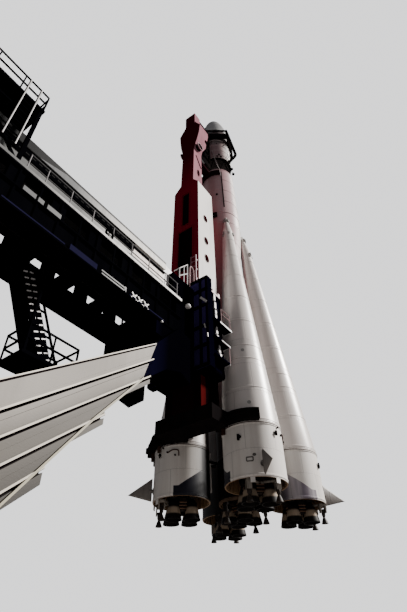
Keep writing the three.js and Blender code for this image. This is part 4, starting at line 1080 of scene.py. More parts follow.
mast_paint = paint("red mast paint, painted sheen on the sides", mast_tint, RED_GRIME, 0.3, gloss=(0.5, 0.7), shine=0.0)
foot_paint = paint("mast foot in painted shade", foot_tint, RED_GRIME, 0.25, gloss=(0.55, 0.7), shine=0.0)
pink_paint = paint("pink rungs and rims", PALE_PINK, RED_GRIME, 0.3, gloss=(0.45, 0.6), shine=0.2)
dress(mast_paint, "mast_column", "mast_neck", "mast_head")
dress(foot_paint, "mast_foot")
dress(pink_paint, "mast_ladder")
rim_rows = [(z, 0.46, 0.66, 1.04) for z in (13.05, 14.65, 16.85)] + [(22.7, 0.31, 0.81, 0.56)]
rims = [oval_rim(-3.7, z, width, height, s * y) for z, width, height, y in rim_rows for s in SIDES]
add_piece("mast_hole_rims", rims, mast_paint, "mast_red")
hollow_frames = []
for half, low, high in ((0.6, 11.86, 15.76), (0.32, 16.14, 19.66)):
    corners = [on_outer_face(y, z) for y, z in ((-half, low), (half, low), (half, high), (-half, high))]
    hollow_frames.append(frame_round(corners, 0.07, 0.05, ALONG_BEAM))
add_piece("mast_hollow_frames", hollow_frames, mast_paint, "mast_red")
brace_rows = [(y, low, high) for low, high in ((12.0, 13.8), (13.9, 15.6)) for y in (-0.5, 0.5)]
brace_rows += [(-0.24, 16.4, 17.8), (0.24, 17.9, 19.4)]
BRACE_X = -4.33
y, low, high = np.transpose(brace_rows)
braces = bars(as_points(BRACE_X, y, low), as_points(BRACE_X, -y, high), 0.07, 0.06)
add_piece("mast_hollow_braces", [braces], black_paint, "mast_red")

# Pin bosses of the mast's head: a round black steel eye in a pink welded ring on each side.
# A black stay is bolted to the neck's side below it, and a short bar to the head's side above.
EYE_X, EYE_Z = -3.78, 26.1
SIDE_ON = (0.0, 1.0, 0.0)
eye_black, eye_pink = [], []
for side in SIDES:
    eye_black += [
        rods([(EYE_X, side * 0.59, EYE_Z)], [(EYE_X, side * 0.88, EYE_Z)], 0.31, 24),
        bars([(-3.98, side * 0.575, 24.85)], [(-3.34, side * 0.575, 23.75)], 0.03, 0.09, SIDE_ON),
        bars([(-3.9, side * 0.51, 30.5)], [(-3.3, side * 0.51, 30.62)], 0.02, 0.07, SIDE_ON),
    ]
    eye_pink.append(oval_rim(EYE_X, EYE_Z, 0.68, 0.68, side * 0.86, 0.045))
add_piece("mast_head_eyes", eye_black, black_paint, "black_steel")
add_piece("mast_head_rings", eye_pink, pink_paint, "mast_red")

# Service arm: a black pipe frame that stands off the mast's neck beside the upper stage and
# carries its cables. Two uprights, welded cross arms, a short diagonal in each bay and plates.
ARM_Y = -0.42
ARM_INNER, ARM_OUTER = -2.55, -1.78
ARM_PLATE = (-0.36, -0.3)


def blocks(rows):
    """Boxes from rows of (x0, x1, y0, y1, z0, z1)."""
    rows = np.atleast_2d(np.asarray(rows, float))
    low = np.stack([rows[:, 0:2].mean(axis=1), rows[:, 2:4].mean(axis=1), rows[:, 4]], axis=-1)
    high = low.copy()
    high[:, 2] = rows[:, 5]
    wide, deep = rows[:, 1] - rows[:, 0], rows[:, 3] - rows[:, 2]
    return bars(low, high, wide[:, None, None], deep[:, None, None], ALONG_BEAM)


def side_blocks(near, far, rows):
    """Boxes on both sides of the stand, from near to far off its middle, from rows of (x0, x1, z0, z1)."""
    return blocks([(x0, x1, *sorted((s * near, s * far)), z0, z1) for x0, x1, z0, z1 in rows for s in SIDES])


arm_levels = np.array([26.95, 28.0, 29.1, 30.2, 31.0])


def arm_points(x, z):
    """Points in the arm's upright plane."""
    return as_points(x, ARM_Y, z)


arm_shapes = [
    rods(arm_points([ARM_INNER, ARM_OUTER], 26.8), arm_points([ARM_INNER, ARM_OUTER], 31.1), 0.06, 8),
    rods(arm_points(-3.27, arm_levels), arm_points(-1.72, arm_levels), 0.05, 8),
    rods(arm_points(ARM_INNER, arm_levels[:-1]), arm_points(ARM_OUTER, arm_levels[1:]), 0.04, 8),
    blocks([
        (-3.22, -1.5, *ARM_PLATE, 28.75, 31.0),
        (-2.8, -1.5, *ARM_PLATE, 26.15, 28.75),
        (-3.22, -2.8, *ARM_PLATE, 26.85, 28.15),
    ]),
]
add_piece("service_arm", arm_shapes, black_paint, "black_steel")

# Clamps, grip frame and tail cradle: black-painted steel. The grip frame is a band and a tube
# ring on five posts round the fairing, hung on two bent arms from the upper stage.
GRIP_TURN = 180.0 + 72.0 * np.arange(5)
GRIP_POST, GRIP_OUTSIDE = 1.755, 1.84
GRIP_TOP = 32.80
grip_ring = on_ring(GRIP_POST, GRIP_TURN, GRIP_TOP)
grip_shapes = [
    turned(ring_band(1.67, GRIP_OUTSIDE, 31.4, 32.15, 5), 180.0),
    rods(grip_ring, np.roll(grip_ring, -1, axis=0), 0.085),
    rods(on_ring(GRIP_POST, GRIP_TURN, 31.5), grip_ring, 0.08),
    side_blocks(0.3, 0.5, [(-3.16, -1.46, 31.42, 31.65)]),
    side_blocks(1.352, 1.42, [(-0.16, 0.16, 28.3, 28.55)]),
]
# Columns: along the beam, aside and height of a bent arm, from the tube ring down to its foot.
arm_rows = [
    (-0.54, 1.67, GRIP_TOP),
    (-0.25, 1.87, 30.8),
    (-0.03, 2.05, 29.25),
    (0.0, 2.07, 28.95),
    (0.0, 1.97, 28.72),
    (0.0, 1.40, 28.42),
]
for side in SIDES:
    bend = np.array(arm_rows) * (1, side, 1)
    arm_path = np.vstack([np.linspace(bend[0], bend[2], 6), curve_through(bend[2:], 16)[1:]])
    grip_shapes.append(tube(arm_path, 0.13, 12))
add_piece("grip_frame_tubes", grip_shapes, black_paint, "black_steel", "grip_frame")
clamp_paint = paint("dark clamp paint", (0.012, 0.003, 0.005), (0.02, 0.012, 0.012), 0.4, **dull)
dress(clamp_paint, "upper_clamp", "lower_clamp")
dress(black_paint, "tail_cradle")
bolt_offset = np.array([-16.0, 0.0, 16.0])
bolt_turn = (GRIP_TURN[:, None] + 36.0 + bolt_offset).ravel()
bolt_reach = np.tile(GRIP_OUTSIDE * np.cos(np.radians(36.0)) / np.cos(np.radians(bolt_offset)), 5)
grip_bolts = [
    rods(on_ring(bolt_reach - 0.01, bolt_turn, z), on_ring(bolt_reach + 0.03, bolt_turn, z), 0.035, 6)
    for z in (31.5, 32.05)
]
add_piece("grip_bolts", grip_bolts, black_paint, "black_steel")

# Jaw fittings: a taller lip on the far jaw with swing hooks on its outer end, and brown stops
# that hang below both jaws. All are cut from steel and welded or pinned to the jaws' plates.
JAW = REACH * np.sqrt(0.5)
HOOK_REACH, STOP_REACH = 1.72, 1.44


def on_jaw(side, degrees, height, reach):
    """Points round the axis of the rear booster on one side, degrees from the direction of +X."""
    turn = np.radians(degrees)
    x, y = -JAW + reach * np.cos(turn), side * JAW + reach * np.sin(turn)
    return as_points(x, y, height)


def arc_band(side, first, last, z0, z1, inner, outer):
    """A curved plate round a rear booster: a rectangle swept along an arc."""
    turn = np.linspace(first, last, 24)
    corners = [(inner, z0), (outer, z0), (outer, z1), (inner, z1)]
    return grid_shape(np.stack([on_jaw(side, turn, z, reach) for reach, z in corners], axis=1)[:, ::-1])


# Columns: side, first and last degrees, foot, top, and inner and outer distance from the axis.
lip_rows = [
    (1, 104, 224, 2.86, 3.05, 1.39, 1.58),
    (1, 100, 228, 2.56, 2.64, 1.64, 1.72),
    (-1, 134, 222, 2.56, 2.64, 1.64, 1.72),
]
# Columns: side, degrees and height.
hook_rows = [(1, 103, 2.95), (1, 101, 2.55), (1, 112, 2.45), (1, 125, 2.5), (-1, 134, 2.6)]
stop_rows = [(1, 128, 1.95), (1, 168, 2.05), (1, 108, 1.9), (-1, 150, 2.05)]
side, turn, z = np.transpose(hook_rows)
hooks = rods(on_jaw(side, turn, z - 0.12, HOOK_REACH), on_jaw(side, turn, z + 0.14, HOOK_REACH), 0.11, 12)
add_piece("jaw_lips_and_hooks", [arc_band(*row) for row in lip_rows] + [hooks], black_paint, "black_steel")
side, turn, z = np.transpose(stop_rows)
stops = bars(on_jaw(side, turn, z, STOP_REACH), on_jaw(side, turn, 2.36, STOP_REACH), 0.1, 0.16)
stop_paint = paint("brown stops", (0.035, 0.014, 0.008), (0.01, 0.006, 0.005), 0.6, shine=0.1)
add_piece("jaw_stops", [stops], stop_paint, "black_steel")

# Carriage: a heavy dark blue weldment. Its back plate shows lighter panels between dark ribs
# and its cheeks a broken white strip. Side ledges have white edges and pink guard rails.
NAVY = (0.0006, 0.0005, 0.0012)
NAVY_LIGHT = (0.045, 0.032, 0.13)
NAVY_GRIME = (0.001, 0.001, 0.002)


def carriage_tint(tree):
    """Light blue panels on the back plate, blue cheeks, and near black on every other face."""
    x, aside = located(tree, 0), maths("ABSOLUTE", located(tree, 1))
    back = times(under(facing(tree, 0), -0.8), under(x, -4.9), over(x, -5.1))
    shade = blend(back, NAVY, NAVY_LIGHT)
    return blend(times(sideways(tree), over(aside, 1.5)), shade, (0.001, 0.0008, 0.004))


def saddle_tint(tree):
    """Dark blue beside the legs, near black towards the rocket."""
    return blend(ramp(located(tree, 0), -8.8, -7.9), (0.0022, 0.0018, 0.0085), NAVY)


def both_sides(rows, y):
    """Start and end points at y and -y, from rows of (x0, z0, x1, z1)."""
    x0, z0, x1, z1 = np.repeat(rows, 2, axis=0).T
    aside = np.tile([y, -y], len(rows))
    return as_points(x0, aside, z0), as_points(x1, aside, z1)


navy_paint = paint("dark blue paint", carriage_tint, NAVY_GRIME, 0.4, **dull)
saddle_paint = paint("dark blue bracket paint", saddle_tint, NAVY_GRIME, 0.4, **dull)
rib_paint = paint("black-blue rib paint", NAVY, NAVY_GRIME, 0.4, **dull)
white_edge = paint("white edge paint", (0.66, 0.64, 0.64), (0.14, 0.11, 0.11), 0.6)
pink_edge = paint("pink edge paint", (0.30, 0.16, 0.17), (0.14, 0.08, 0.08), 0.6)
dress(navy_paint, "carriage")
dress(saddle_paint, "leg_saddle")
cheek_ribs = [(-4.9, -3.45, z, z + 0.14) for z in (4.65, 5.2, 6.2, 7.3, 8.4, 9.4)]
cheek_ribs += [(x, x + 0.1, 4.65, 9.55) for x in (-4.86, -4.3, -3.52)]
back_posts = [(-5.04, -4.95, 4.62, 10.15)]
carriage_ribs = [
    blocks([(-5.02, -4.95, -1.86, 1.86, z, z + 0.16) for z in (4.62, 5.72, 6.86, 8.15, 9.2, 10.02)]),
    side_blocks(1.35, 1.45, back_posts),
    side_blocks(1.75, 1.85, back_posts),
    side_blocks(1.6, 1.65, cheek_ribs),
]
add_piece("carriage_ribs", carriage_ribs, rib_paint, "stand_navy")
# Columns: rear end, foot and top of each piece of the strip.
strip_rows = [
    (-4.12, 9.15, 9.55),
    (-4.08, 8.6, 9.02),
    (-4.04, 7.95, 8.5),
    (-4.0, 7.5, 7.86),
    (-4.02, 7.0, 7.42),
    (-3.98, 6.6, 6.92),
    (-3.86, 5.95, 6.35),
    (-3.78, 5.6, 5.9),
]
strips = side_blocks(1.6, 1.68, [(x, x + 0.14, low, high) for x, low, high in strip_rows])
add_piece("cheek_white_strips", [strips], white_edge, "deck_grey")
ledge_ends = [(x - 0.01, x + 0.02, z - 0.02, z + 0.04) for x, z in ((-3.0, 7.5), (-3.25, 6.4), (-3.35, 5.35))]
ledge_sides = [(-4.1, -3.02, 7.47, 7.56), (-4.05, -3.27, 6.38, 6.42)]
ledge_edges = [side_blocks(1.40, 1.96, ledge_ends), side_blocks(1.96, 1.99, ledge_sides)]
add_piece("ledge_edges", ledge_edges, white_edge, "deck_grey")
guard_rows = [
    (-3.3, 5.43, -3.3, 6.42),
    (-3.3, 6.42, -3.9, 6.42),
    (-3.08, 7.58, -3.08, 8.5),
    (-3.08, 8.2, -3.9, 8.2),
    (-3.08, 8.5, -3.9, 8.5),
    (-3.9, 7.58, -3.9, 8.5),
]
add_piece("ledge_guards", [rods(*both_sides(guard_rows, 1.93), 0.025, 6)], pink_edge, "deck_grey")

# Rails and lamps on the carriage: a small white railing and pink ladder hoops of welded pipe, a
# pale edge of flat bar over the cheeks, work lamps and short bars on the back plate.
SPINE_TOP = 9.61
rail_rows = [
    (-6.1, SPINE_TOP, -6.1, 10.4),
    (-5.72, SPINE_TOP, -5.72, 10.85),
    (-5.42, SPINE_TOP, -5.42, 11.2),
    (-6.1, 10.4, -5.42, 11.2),
    (-6.1, 9.85, -5.42, 10.5),
]
rail_returns = rods([(-6.1, s * 0.88, 10.4) for s in SIDES], [(-6.1, s * 0.5, 10.4) for s in SIDES], 0.028, 6)
railing = [rods(*both_sides(rail_rows, 0.88), 0.028, 6), rail_returns]
add_piece("spine_railing", railing, white_edge, "deck_grey")
hoop_bend = [(0.0, SPINE_TOP), (0.0, 10.9), (0.08, 11.3), (0.3, 11.25), (0.36, 10.9), (0.36, 10.22)]
hoop_x, hoop_z = np.transpose(hoop_bend)
hoops = []
for x, y in ((-5.2, 0.88), (-5.2, -0.88), (-4.98, 0.62), (-4.98, -0.62)):
    hoops.append(pipe(as_points(x + hoop_x, y, hoop_z), 0.035, 20))
add_piece("ladder_hoops", hoops, pink_edge, "deck_grey")
top_edges = [
    side_blocks(1.5, 1.62, [(-4.56, -3.42, 9.71, 9.8)]),
    side_blocks(1.35, 1.62, [(x, x + 0.16, 9.8, 9.98) for x in (-3.6, -4.1)]),
]
add_piece("cheek_top_edges", top_edges, pink_edge, "deck_grey")
lamp_turn = np.linspace(0.0, np.pi / 2, 7)
lamps = []
for x, y, z, size in ((-6.12, -1.46, 7.42, 0.14), (-5.06, -0.8, 8.52, 0.12), (-8.0, -1.5, 5.3, 0.06)):
    bowl = as_points(size * np.sin(lamp_turn) + 0.01, -size * 0.6 * np.cos(lamp_turn))
    bowl = np.vstack([bowl, [(size * 0.8, 0.1), (0.02, 0.14)]])
    lamps.append(turned(revolve(bowl, 20), 0, (x, y, z)))
bar_feet, bar_heads = [(-5.06, -1.66, 6.95), (-5.06, -1.82, 6.35)], [(-5.06, -1.72, 6.7), (-5.06, -1.84, 6.1)]
lamp_bars = [
    bars([(-5.08, -1.48, 8.72)], [(-5.08, -1.82, 8.3)], 0.06, 0.12, ALONG_BEAM),
    bars(bar_feet, bar_heads, 0.05, 0.05, ALONG_BEAM),
]
add_piece("work_lamps", lamps + lamp_bars, white_edge, "deck_grey")

# Gantry beam: near-black welded girders, floor and platform. Flat ribs stiffen the girders'
# outer webs, three grey panels close windows in them, and blue and grey angles and a white
# lattice are bolted along the lower flange.
BEAM_END, BEAM_FRONT = -19.0, -6.72
WEB = 1.45
near_black = paint("blue-black beam paint", (0.0007, 0.0007, 0.0012), (0.003, 0.003, 0.004), 0.4, **dull)
panel_grey = paint("grey window panels", (0.085, 0.085, 0.088), (0.02, 0.02, 0.02), 0.5, shine=0.2)
blue_angle = paint("violet-blue angles", (0.010, 0.009, 0.026), (0.004, 0.004, 0.01), 0.5, shine=0.0)
dress(near_black, "girder_1", "girder_2", "beam_floor", "rear_platform", "stairs")
girder_ribs = [
    side_blocks(WEB, 1.51, [(x, x + 0.07, 5.3, 7.3) for x in np.arange(-18.95, -6.8, 0.879)]),
    side_blocks(WEB, 1.55, [(BEAM_END, BEAM_FRONT, z, z + 0.06) for z in (5.3, 6.26, 7.2)]),
]
light_rows = [(x0, x1, 6.36, 6.58) for x0, x1 in ((-15.15, -14.65), (-14.56, -14.33), (-14.18, -13.6))]
grey_rows = [(-11.48, -10.23, 5.36, 5.42), (-11.5, -10.3, 5.5, 5.56), (-10.3, -10.2, 5.36, 5.6)]
blue_rows = [(-15.65, -13.2, 5.38, 5.44), (-12.99, -11.73, 5.36, 5.62), (-10.0, -7.9, 5.38, 5.43)]
girder_panels = [side_blocks(WEB, 1.525, light_rows), side_blocks(1.52, 1.56, grey_rows)]
add_piece("girder_ribs", girder_ribs, near_black, "stand_navy")
add_piece("girder_panels", girder_panels, panel_grey, "deck_grey")
add_piece("girder_blue_angles", [side_blocks(1.52, 1.56, blue_rows)], blue_angle, "stand_navy")
lattice_leans = ((0.0, 0.3), (0.3, 0.02))
lattice_rows = [(x + foot, 5.36, x + head, 5.62) for x in (-9.9, -9.55, -9.2) for foot, head in lattice_leans]
lattice = bars(*both_sides(lattice_rows, 1.54), 0.04, 0.05, SIDE_ON)
add_piece("girder_white_lattice", [lattice], white_edge, "deck_grey")

# Deck and box: a light deck with a white edge, and the long box that covers the lifting
# cylinder. The box has a pale foot, a dark slotted cable tray, a grey web and a black top, which
# a painted shadow deepens towards the rear, and ends in a white shoe over the carriage.
DECK_GREY = (0.42, 0.41, 0.41)
BEAM_BLACK = (0.002, 0.002, 0.003)
EDGE_BLACK = (0.001, 0.001, 0.0015)
EDGE_WHITE = (0.66, 0.64, 0.62)
TRAY_FRONT = -9.35


def deck_tint(tree):
    """Light grey above and on the edge, near black underneath."""
    return blend(under(facing(tree, 2), -0.5), DECK_GREY, BEAM_BLACK)


def box_tint(tree):
    """Grey that turns pale towards the mast, above a paler foot, with a black top edge.

    The black edge is 0.12 m deep, and a painted shadow deepens it to 0.58 m towards the beam's
    rear end. Near the mast a black wedge on the foot is a painted shadow.
    """
    x, z = located(tree, 0), located(tree, 2)
    web = blend(ramp(x, -13.0, -8.8), (0.13, 0.13, 0.135), (0.72, 0.69, 0.66))
    foot = blend(ramp(x, -12.6, -9.0), (0.105, 0.105, 0.105), (0.50, 0.49, 0.48))
    shade = blend(under(z, 9.0), web, foot)
    shade = blend(times(over(x, -9.3), under(z, 9.22)), shade, (0.80, 0.72, 0.68))
    # Painted shadow: a black wedge on the foot near the mast.
    open_top = maths("MINIMUM", line(x, 0.42, 12.7), 8.74)
    shade = blend(times(over(x, -10.4), under(z, open_top)), shade, BEAM_BLACK)
    # Black top edge, deepened towards the rear by a painted shadow.
    edge = maths("MAXIMUM", maths("MINIMUM", line(x, 0.31, 14.06), 9.86), 9.4)
    shade = blend(over(z, edge), shade, EDGE_BLACK)
    return blend(times(under(facing(tree, 2), -0.5), over(z, 9.5)), shade, EDGE_BLACK)


def edge_tint(tree):
    """Dark grey towards the beam's rear end, white near the mast."""
    return blend(ramp(located(tree, 0), -15.5, -9.5), (0.09, 0.09, 0.09), EDGE_WHITE)


deck_paint = paint("light grey deck paint", deck_tint, (0.12, 0.11, 0.11), 0.6, shine=0.3)
box_paint = paint("box paint in bands", box_tint, (0.5, 0.5, 0.5), 0.6, streaks=9.0, shine=0.1, stain=True)
slot_grey = paint("dim slot edges", (0.02, 0.02, 0.02), (0.004, 0.004, 0.004), 0.5, shine=0.0)
edge_paint = paint("white edge paint, grey towards the rear", edge_tint, (0.05, 0.05, 0.05), 0.5, streaks=9.0, shine=0.2)
dress(deck_paint, "beam_deck")
dress(box_paint, "beam_box")
add_piece("box_web_plates", [side_blocks(0.74, 0.802, [(-18.99, -7.11, 9.49, 9.98)])], box_paint, "deck_grey")
tray_rows = [(BEAM_END, TRAY_FRONT, 8.97, 9.45), (TRAY_FRONT, -7.12, 9.24, 9.34)]
add_piece("cable_trays", [side_blocks(0.7, 0.76, tray_rows)], near_black, "stand_navy")
tray_lines = [
    side_blocks(0.76, 0.775, [(x, x + 0.16, 9.14, 9.19) for x in np.arange(-18.9, -9.5, 0.3)]),
    side_blocks(0.76, 0.80, [(BEAM_END, TRAY_FRONT, 9.45, 9.49)]),
]
add_piece("cable_tray_slots", tray_lines, slot_grey, "deck_grey")
deck_lips = side_blocks(1.53, 1.56, [(BEAM_END, BEAM_FRONT, 7.29, 7.42)])
add_piece("deck_edge", [deck_lips], edge_paint, "deck_grey")
SHOE_REAR, SHOE_FRONT, SHOE_FOOT = -7.09, -5.75, 7.4
shoe_outline = [(SHOE_REAR, SHOE_FOOT), (BEAM_FRONT, SHOE_FOOT), (BEAM_FRONT, SPINE_TOP)]
shoe_outline += [(SHOE_FRONT, SPINE_TOP), (SHOE_FRONT, 9.75), (SHOE_REAR, 9.99)]
x, z = np.transpose(shoe_outline)
shoe = np.stack([as_points(x, y, z) for y in (0.69, -0.69)])
add_piece("box_front_shoe", [grid_shape(shoe)], white_edge, "deck_grey")

# Deck handrails: welded pipe, with a top rail, a middle rail and a toe rail on light posts
# with foot plates, and a small black hand wheel outside each rail.
DECK_TOP = 7.4025
RAIL_REAR, RAIL_FRONT = -15.3, -6.9
rail_paint = paint("handrail paint", (0.035, 0.033, 0.034), (0.01, 0.01, 0.01), 0.5, shine=0.2)
post_paint = paint("handrail post paint", (0.14, 0.13, 0.135), (0.02, 0.02, 0.02), 0.5, shine=0.2)
post_x = np.concatenate([[-15.27], np.arange(-14.5, -7.5, 1.1086), [-6.95]])
rail_z = np.array([7.44, 7.86, 8.34])
for name, y in (("handrail_1", -1.43), ("handrail_2", 1.43)):
    feet = as_points(post_x, y, DECK_TOP)
    posts = rods(feet, feet + (0, 0, 0.93), 0.024, 8)
    foot_plates = blocks([(x - 0.07, x + 0.07, y - 0.05, y + 0.05, DECK_TOP, 7.43) for x in post_x])
    add_piece(f"{name}_posts", [posts, foot_plates], post_paint, "deck_grey", name)
    rails = rods(as_points(RAIL_REAR, y, rail_z), as_points(RAIL_FRONT, y, rail_z), 0.026, 8)
    add_piece(f"{name}_rails", [rails], rail_paint, "deck_grey")
WHEEL_X, WHEEL_Z = -11.42, 7.66
spoke_rows = [
    (WHEEL_X - 0.18, WHEEL_Z, WHEEL_X + 0.18, WHEEL_Z),
    (WHEEL_X, WHEEL_Z - 0.24, WHEEL_X, WHEEL_Z + 0.22),
]
wheels = [oval_rim(WHEEL_X, WHEEL_Z, 0.36, 0.44, s * 1.5, 0.05) for s in SIDES]
wheels.append(rods(*both_sides(spoke_rows, 1.47), 0.02, 6))
add_piece("deck_hand_wheels", wheels, near_black, "stand_navy")

# Ladder stiles of the platform in white welded tube, and white marks down the face of the
# stairs' near stringer, two to a tread, where light shows between the treads.
stile_feet = np.array([(-16.45, -1.512, 8.05), (-15.95, -1.512, 8.05)])
stiles = rods(stile_feet, stile_feet + (0, 0, 4.1), 0.022, 6)
add_piece("platform_ladder_stiles", [stiles], white_edge, "deck_grey")
STRINGER_NORMAL = np.array([-0.897, 0.0, -0.442])
TREADS = 15
step = np.arange(0.75, TREADS)[:, None] / TREADS
tread = (-13.4, 0.05, 5.1) + step * (1.65, 0.0, -3.35)
tread_marks = [
    bars(tread + STRINGER_NORMAL * start, tread + STRINGER_NORMAL * end, 0.03, 0.045, SIDE_ON)
    for start, end in ((0.2, 0.04), (-0.05, -0.21))
]
add_piece("stair_edge_marks", tread_marks, white_edge, "deck_grey")

# Legs: pale folded plate. Each groove is a fold: its upper lip is a cream ridge, a painted
# highlight, over a dark gap, a painted shadow. A pale flange runs along the top edge, a painted
# highlight over a painted shadow line, a beige one runs along the lower edge under a thin dark
# line, and bolted base plates hold the feet.
LEG_ANGLE = np.radians(6.0)
LEG_ROOT_X, LEG_ROOT_Y = -9.0, 2.0
BASE_ENDS = ((6.4, -5.6), (12.0, -5.6))
FOLD_FOOT = -5.78
SKIN_BACK = -0.137


def on_leg(side, distance, z, out):
    """Points of a leg: distance away from the rocket, height, and how far out of its face."""
    along, across = -np.asarray(distance, float), side * np.asarray(out, float)
    turn = -side * LEG_ANGLE
    x = along * np.cos(turn) - across * np.sin(turn) + LEG_ROOT_X
    y = along * np.sin(turn) + across * np.cos(turn) + side * LEG_ROOT_Y
    return as_points(x, y, z)


def leg_strip(side, start, end, low, high, inner, outer):
    """A straight bar along a leg from start to end, both (distance, z).

    low and high are its edges above each end's z, and inner and outer its faces.
    """
    rings = []
    for (distance, z), bottom, top in zip((start, end), np.broadcast_to(low, 2), np.broadcast_to(high, 2)):
        corners = [(bottom, inner), (bottom, outer), (top, outer), (top, inner)]
        rings.append([on_leg(side, distance, z + rise, out) for rise, out in corners])
    points = np.asarray(rings)
    return grid_shape(points[:, ::-1] if side > 0 else points)


def leg_tint(tree):
    """Warm grey that dulls with the depth below the leg's sloping top edge."""
    depth = minus(line(located(tree, 0), 0.764, 10.296), located(tree, 2))
    upper = blend(ramp(depth, 0.9, 1.7), (0.205, 0.185, 0.165), (0.072, 0.063, 0.054))
    return blend(ramp(depth, 2.0, 3.4), upper, (0.012, 0.010, 0.009))


leg_paint = paint("warm grey leg paint", leg_tint, (0.11, 0.095, 0.08), 0.25, gloss=(0.5, 0.7), shine=0.25)
highlight_cream_paint = paint("cream ridge paint, a painted highlight", (0.50, 0.45, 0.38), (0.3, 0.26, 0.22), 0.3, shine=0.3)
beige_paint = paint("beige rim paint", (0.30, 0.27, 0.20), (0.16, 0.14, 0.11), 0.3, shine=0.3)
shadow_gap_paint = paint("dark mauve paint for the shadow gaps and lines", (0.006, 0.004, 0.005), (0.003, 0.002, 0.002), 0.4, shine=0.0)
dress(leg_paint, "leg_1", "leg_2")
# Columns: start distance and z, end distance, and the upper lip's height at both ends.
fold_rows = [
    (-0.12, 2.625, 10.2, 0.17, 0.36),
    (0.0, 1.77, 9.3, 0.26, 0.37),
    (2.0, -0.48, 8.4, 0.28, 0.37),
    (3.7, -2.53, 7.5, 0.36, 0.38),
]
TOP_EDGE = [(-0.2, 3.571), (11.8, -5.5994)]
LOWER_EDGE = [(0.41, 1.72), (2.42, -0.53), (6.5, -5.54)]
PLATE_FACES = ((0.002, 0.25), (-1.25, -1.002))
for name, side in (("leg_1", -1), ("leg_2", 1)):
    folds, ridges, gaps, rims = [], [], [], []
    for x0, z0, x1, lip0, lip1 in fold_rows:
        ends = ((x0, z0), (x1, z0 + (x1 - x0) * (FOLD_FOOT - z0) / (x1 + 0.1 - x0)))
        lip = np.array([lip0, lip1])
        folds.append(leg_strip(side, *ends, lip, 0.397, SKIN_BACK, 0.0))
        folds.append(leg_strip(side, *ends, 0.003, lip - 0.09, SKIN_BACK, 0.0))
        # Painted highlight: the cream ridge on each fold's lip.
        ridges.append(leg_strip(side, *ends, lip, lip + 0.06, 0.0, 0.035))
        # Painted shadow: the dark gap under the lip.
        gaps.append(leg_strip(side, *ends, lip - 0.09, lip, SKIN_BACK, -0.125))
        gaps.append(leg_strip(side, *ends, lip - 0.014, lip - 0.001, SKIN_BACK, 0.034))
    # Painted highlight along the top edge, with a painted shadow line under it.
    ridges.append(leg_strip(side, *TOP_EDGE, -0.045, 0.0, 0.0, 0.03))
    gaps.append(leg_strip(side, *TOP_EDGE, -0.11, -0.046, 0.0, 0.012))
    for ends in zip(LOWER_EDGE[:-1], LOWER_EDGE[1:]):
        rims.append(leg_strip(side, *ends, 0.0, 0.09, 0.0, 0.05))
        gaps.append(leg_strip(side, *ends, 0.09, 0.105, 0.0, 0.02))
    plates = [leg_strip(side, *BASE_ENDS, 0.0, 0.06, *faces) for faces in PLATE_FACES]
    for out in (0.13, -1.13):
        foot = on_leg(side, np.arange(6.7, 11.9, 0.65), -5.54, out)
        plates.append(rods(foot, foot + (0, 0, 0.09), 0.045, 6))
    add_piece(f"{name}_folds", folds, leg_paint, "leg_grey")
    add_piece(f"{name}_ridges", ridges, highlight_cream_paint, "leg_grey")
    add_piece(f"{name}_gaps", gaps, shadow_gap_paint, "leg_grey")
    add_piece(f"{name}_rim", rims, beige_paint, "leg_grey")
    add_piece(f"{name}_base_plates", plates, leg_paint, "leg_grey")

# Foundation slab: the flat block of cast concrete under the whole stand, stained by the
# weather. The base plates of the legs are bolted down on it.
cast = {"streaks": 1.5, "gloss": (0.8, 0.95), "bump": 0.5}
dress(paint("cast concrete", (0.36, 0.34, 0.32), (0.16, 0.15, 0.14), 0.6, **cast), "slab")

# Floor, light and camera: a pale studio floor, a broad key light from the right, a pale sky
# for fill, and the camera low beside the gantry beam, looking up at the rocket.
FLOOR_HALF = 60
floor_corners = [(x * FLOOR_HALF, y * FLOOR_HALF, 0) for x, y in ((-1, -1), (1, -1), (1, 1), (-1, 1))]
floor_mesh = bpy.data.meshes.new("studio_floor")
floor_mesh.from_pydata(floor_corners, [], [(0, 1, 2, 3)])
floor = bpy.data.objects.new("studio_floor", floor_mesh)
bpy.context.scene.collection.objects.link(floor)
floor_finish = bpy.data.materials.new("pale floor")
floor_finish.use_nodes = True
floor_tree = floor_finish.node_tree
floor_shader = floor_tree.nodes["Principled BSDF"].inputs
seen_floor = add_node(floor_tree, "ShaderNodeLightPath").outputs["Is Camera Ray"]
floor_tree.links.new(blend(seen_floor, (0.12, 0.115, 0.115), (0.40, 0.395, 0.39)), floor_shader["Base Color"])
floor_shader["Roughness"].default_value = 0.9
floor_mesh.materials.append(floor_finish)

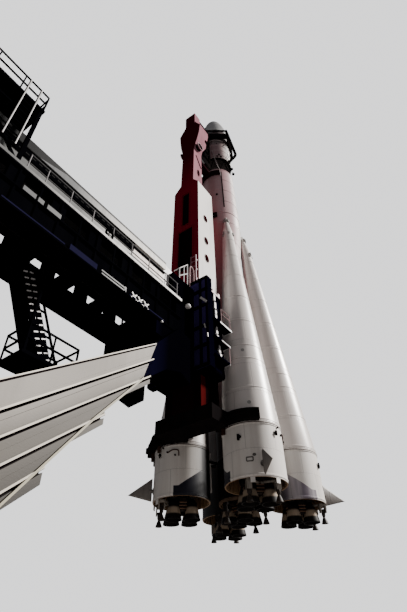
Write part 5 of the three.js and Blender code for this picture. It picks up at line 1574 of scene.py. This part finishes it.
world = bpy.data.worlds.new("pale sky")
world.use_nodes = True
sky = world.node_tree
backdrop = add_node(sky, "ShaderNodeBackground", {"Color": (0.80, 0.80, 0.81), "Strength": 1.9})
fill = sky.nodes["Background"]
fill.inputs["Color"].default_value = (0.78, 0.79, 0.82, 1)
fill.inputs["Strength"].default_value = 0.22
seen = add_node(sky, "ShaderNodeLightPath").outputs["Is Camera Ray"]
mixed = add_node(sky, "ShaderNodeMixShader", {0: seen, 1: fill.outputs[0], 2: backdrop.outputs[0]})
sky.links.new(mixed.outputs[0], sky.nodes["World Output"].inputs[0])
bpy.context.scene.world = world


def aim(thing, forward, upward):
    """Turns an object so that it looks along forward with its top towards upward."""
    back = -unit(np.asarray(forward, float))
    side = unit(np.cross(upward, back))
    matrix = np.eye(4)
    matrix[:3, :3] = np.column_stack([side, np.cross(back, side), back])
    matrix[:3, 3] = thing.location
    thing.matrix_world = [list(map(float, row)) for row in matrix.T]


sun = bpy.data.objects.new("key_light", bpy.data.lights.new("key_light", "SUN"))
sun.data.energy = 10.5
sun.data.angle = np.radians(9.0)
sun.data.color = (1.0, 0.97, 0.92)
bpy.context.scene.collection.objects.link(sun)
aim(sun, (-0.54, 0.60, -0.62), (0, 0, 1))

HEADING, PITCH, ROLL = np.radians(34.4), 0.698, -0.027
SENSOR_MM = 36.0
FOCAL_PIXELS, FRAME_PIXELS = 420.2, 407.0
view_line = np.array([np.cos(HEADING) * np.cos(PITCH), np.sin(HEADING) * np.cos(PITCH), np.sin(PITCH)])
level = np.array([np.sin(HEADING), -np.cos(HEADING), 0.0])
upward = np.cross(level, view_line)
camera = bpy.data.objects.new("camera", bpy.data.cameras.new("camera"))
camera.data.sensor_fit = "HORIZONTAL"
camera.data.sensor_width = SENSOR_MM
camera.data.lens = SENSOR_MM * FOCAL_PIXELS / FRAME_PIXELS
camera.data.clip_end = 500.0
camera.location = (-4.666, -5.396, 0.245)
bpy.context.scene.collection.objects.link(camera)
aim(camera, view_line, -np.sin(ROLL) * level + np.cos(ROLL) * upward)
bpy.context.scene.camera = camera
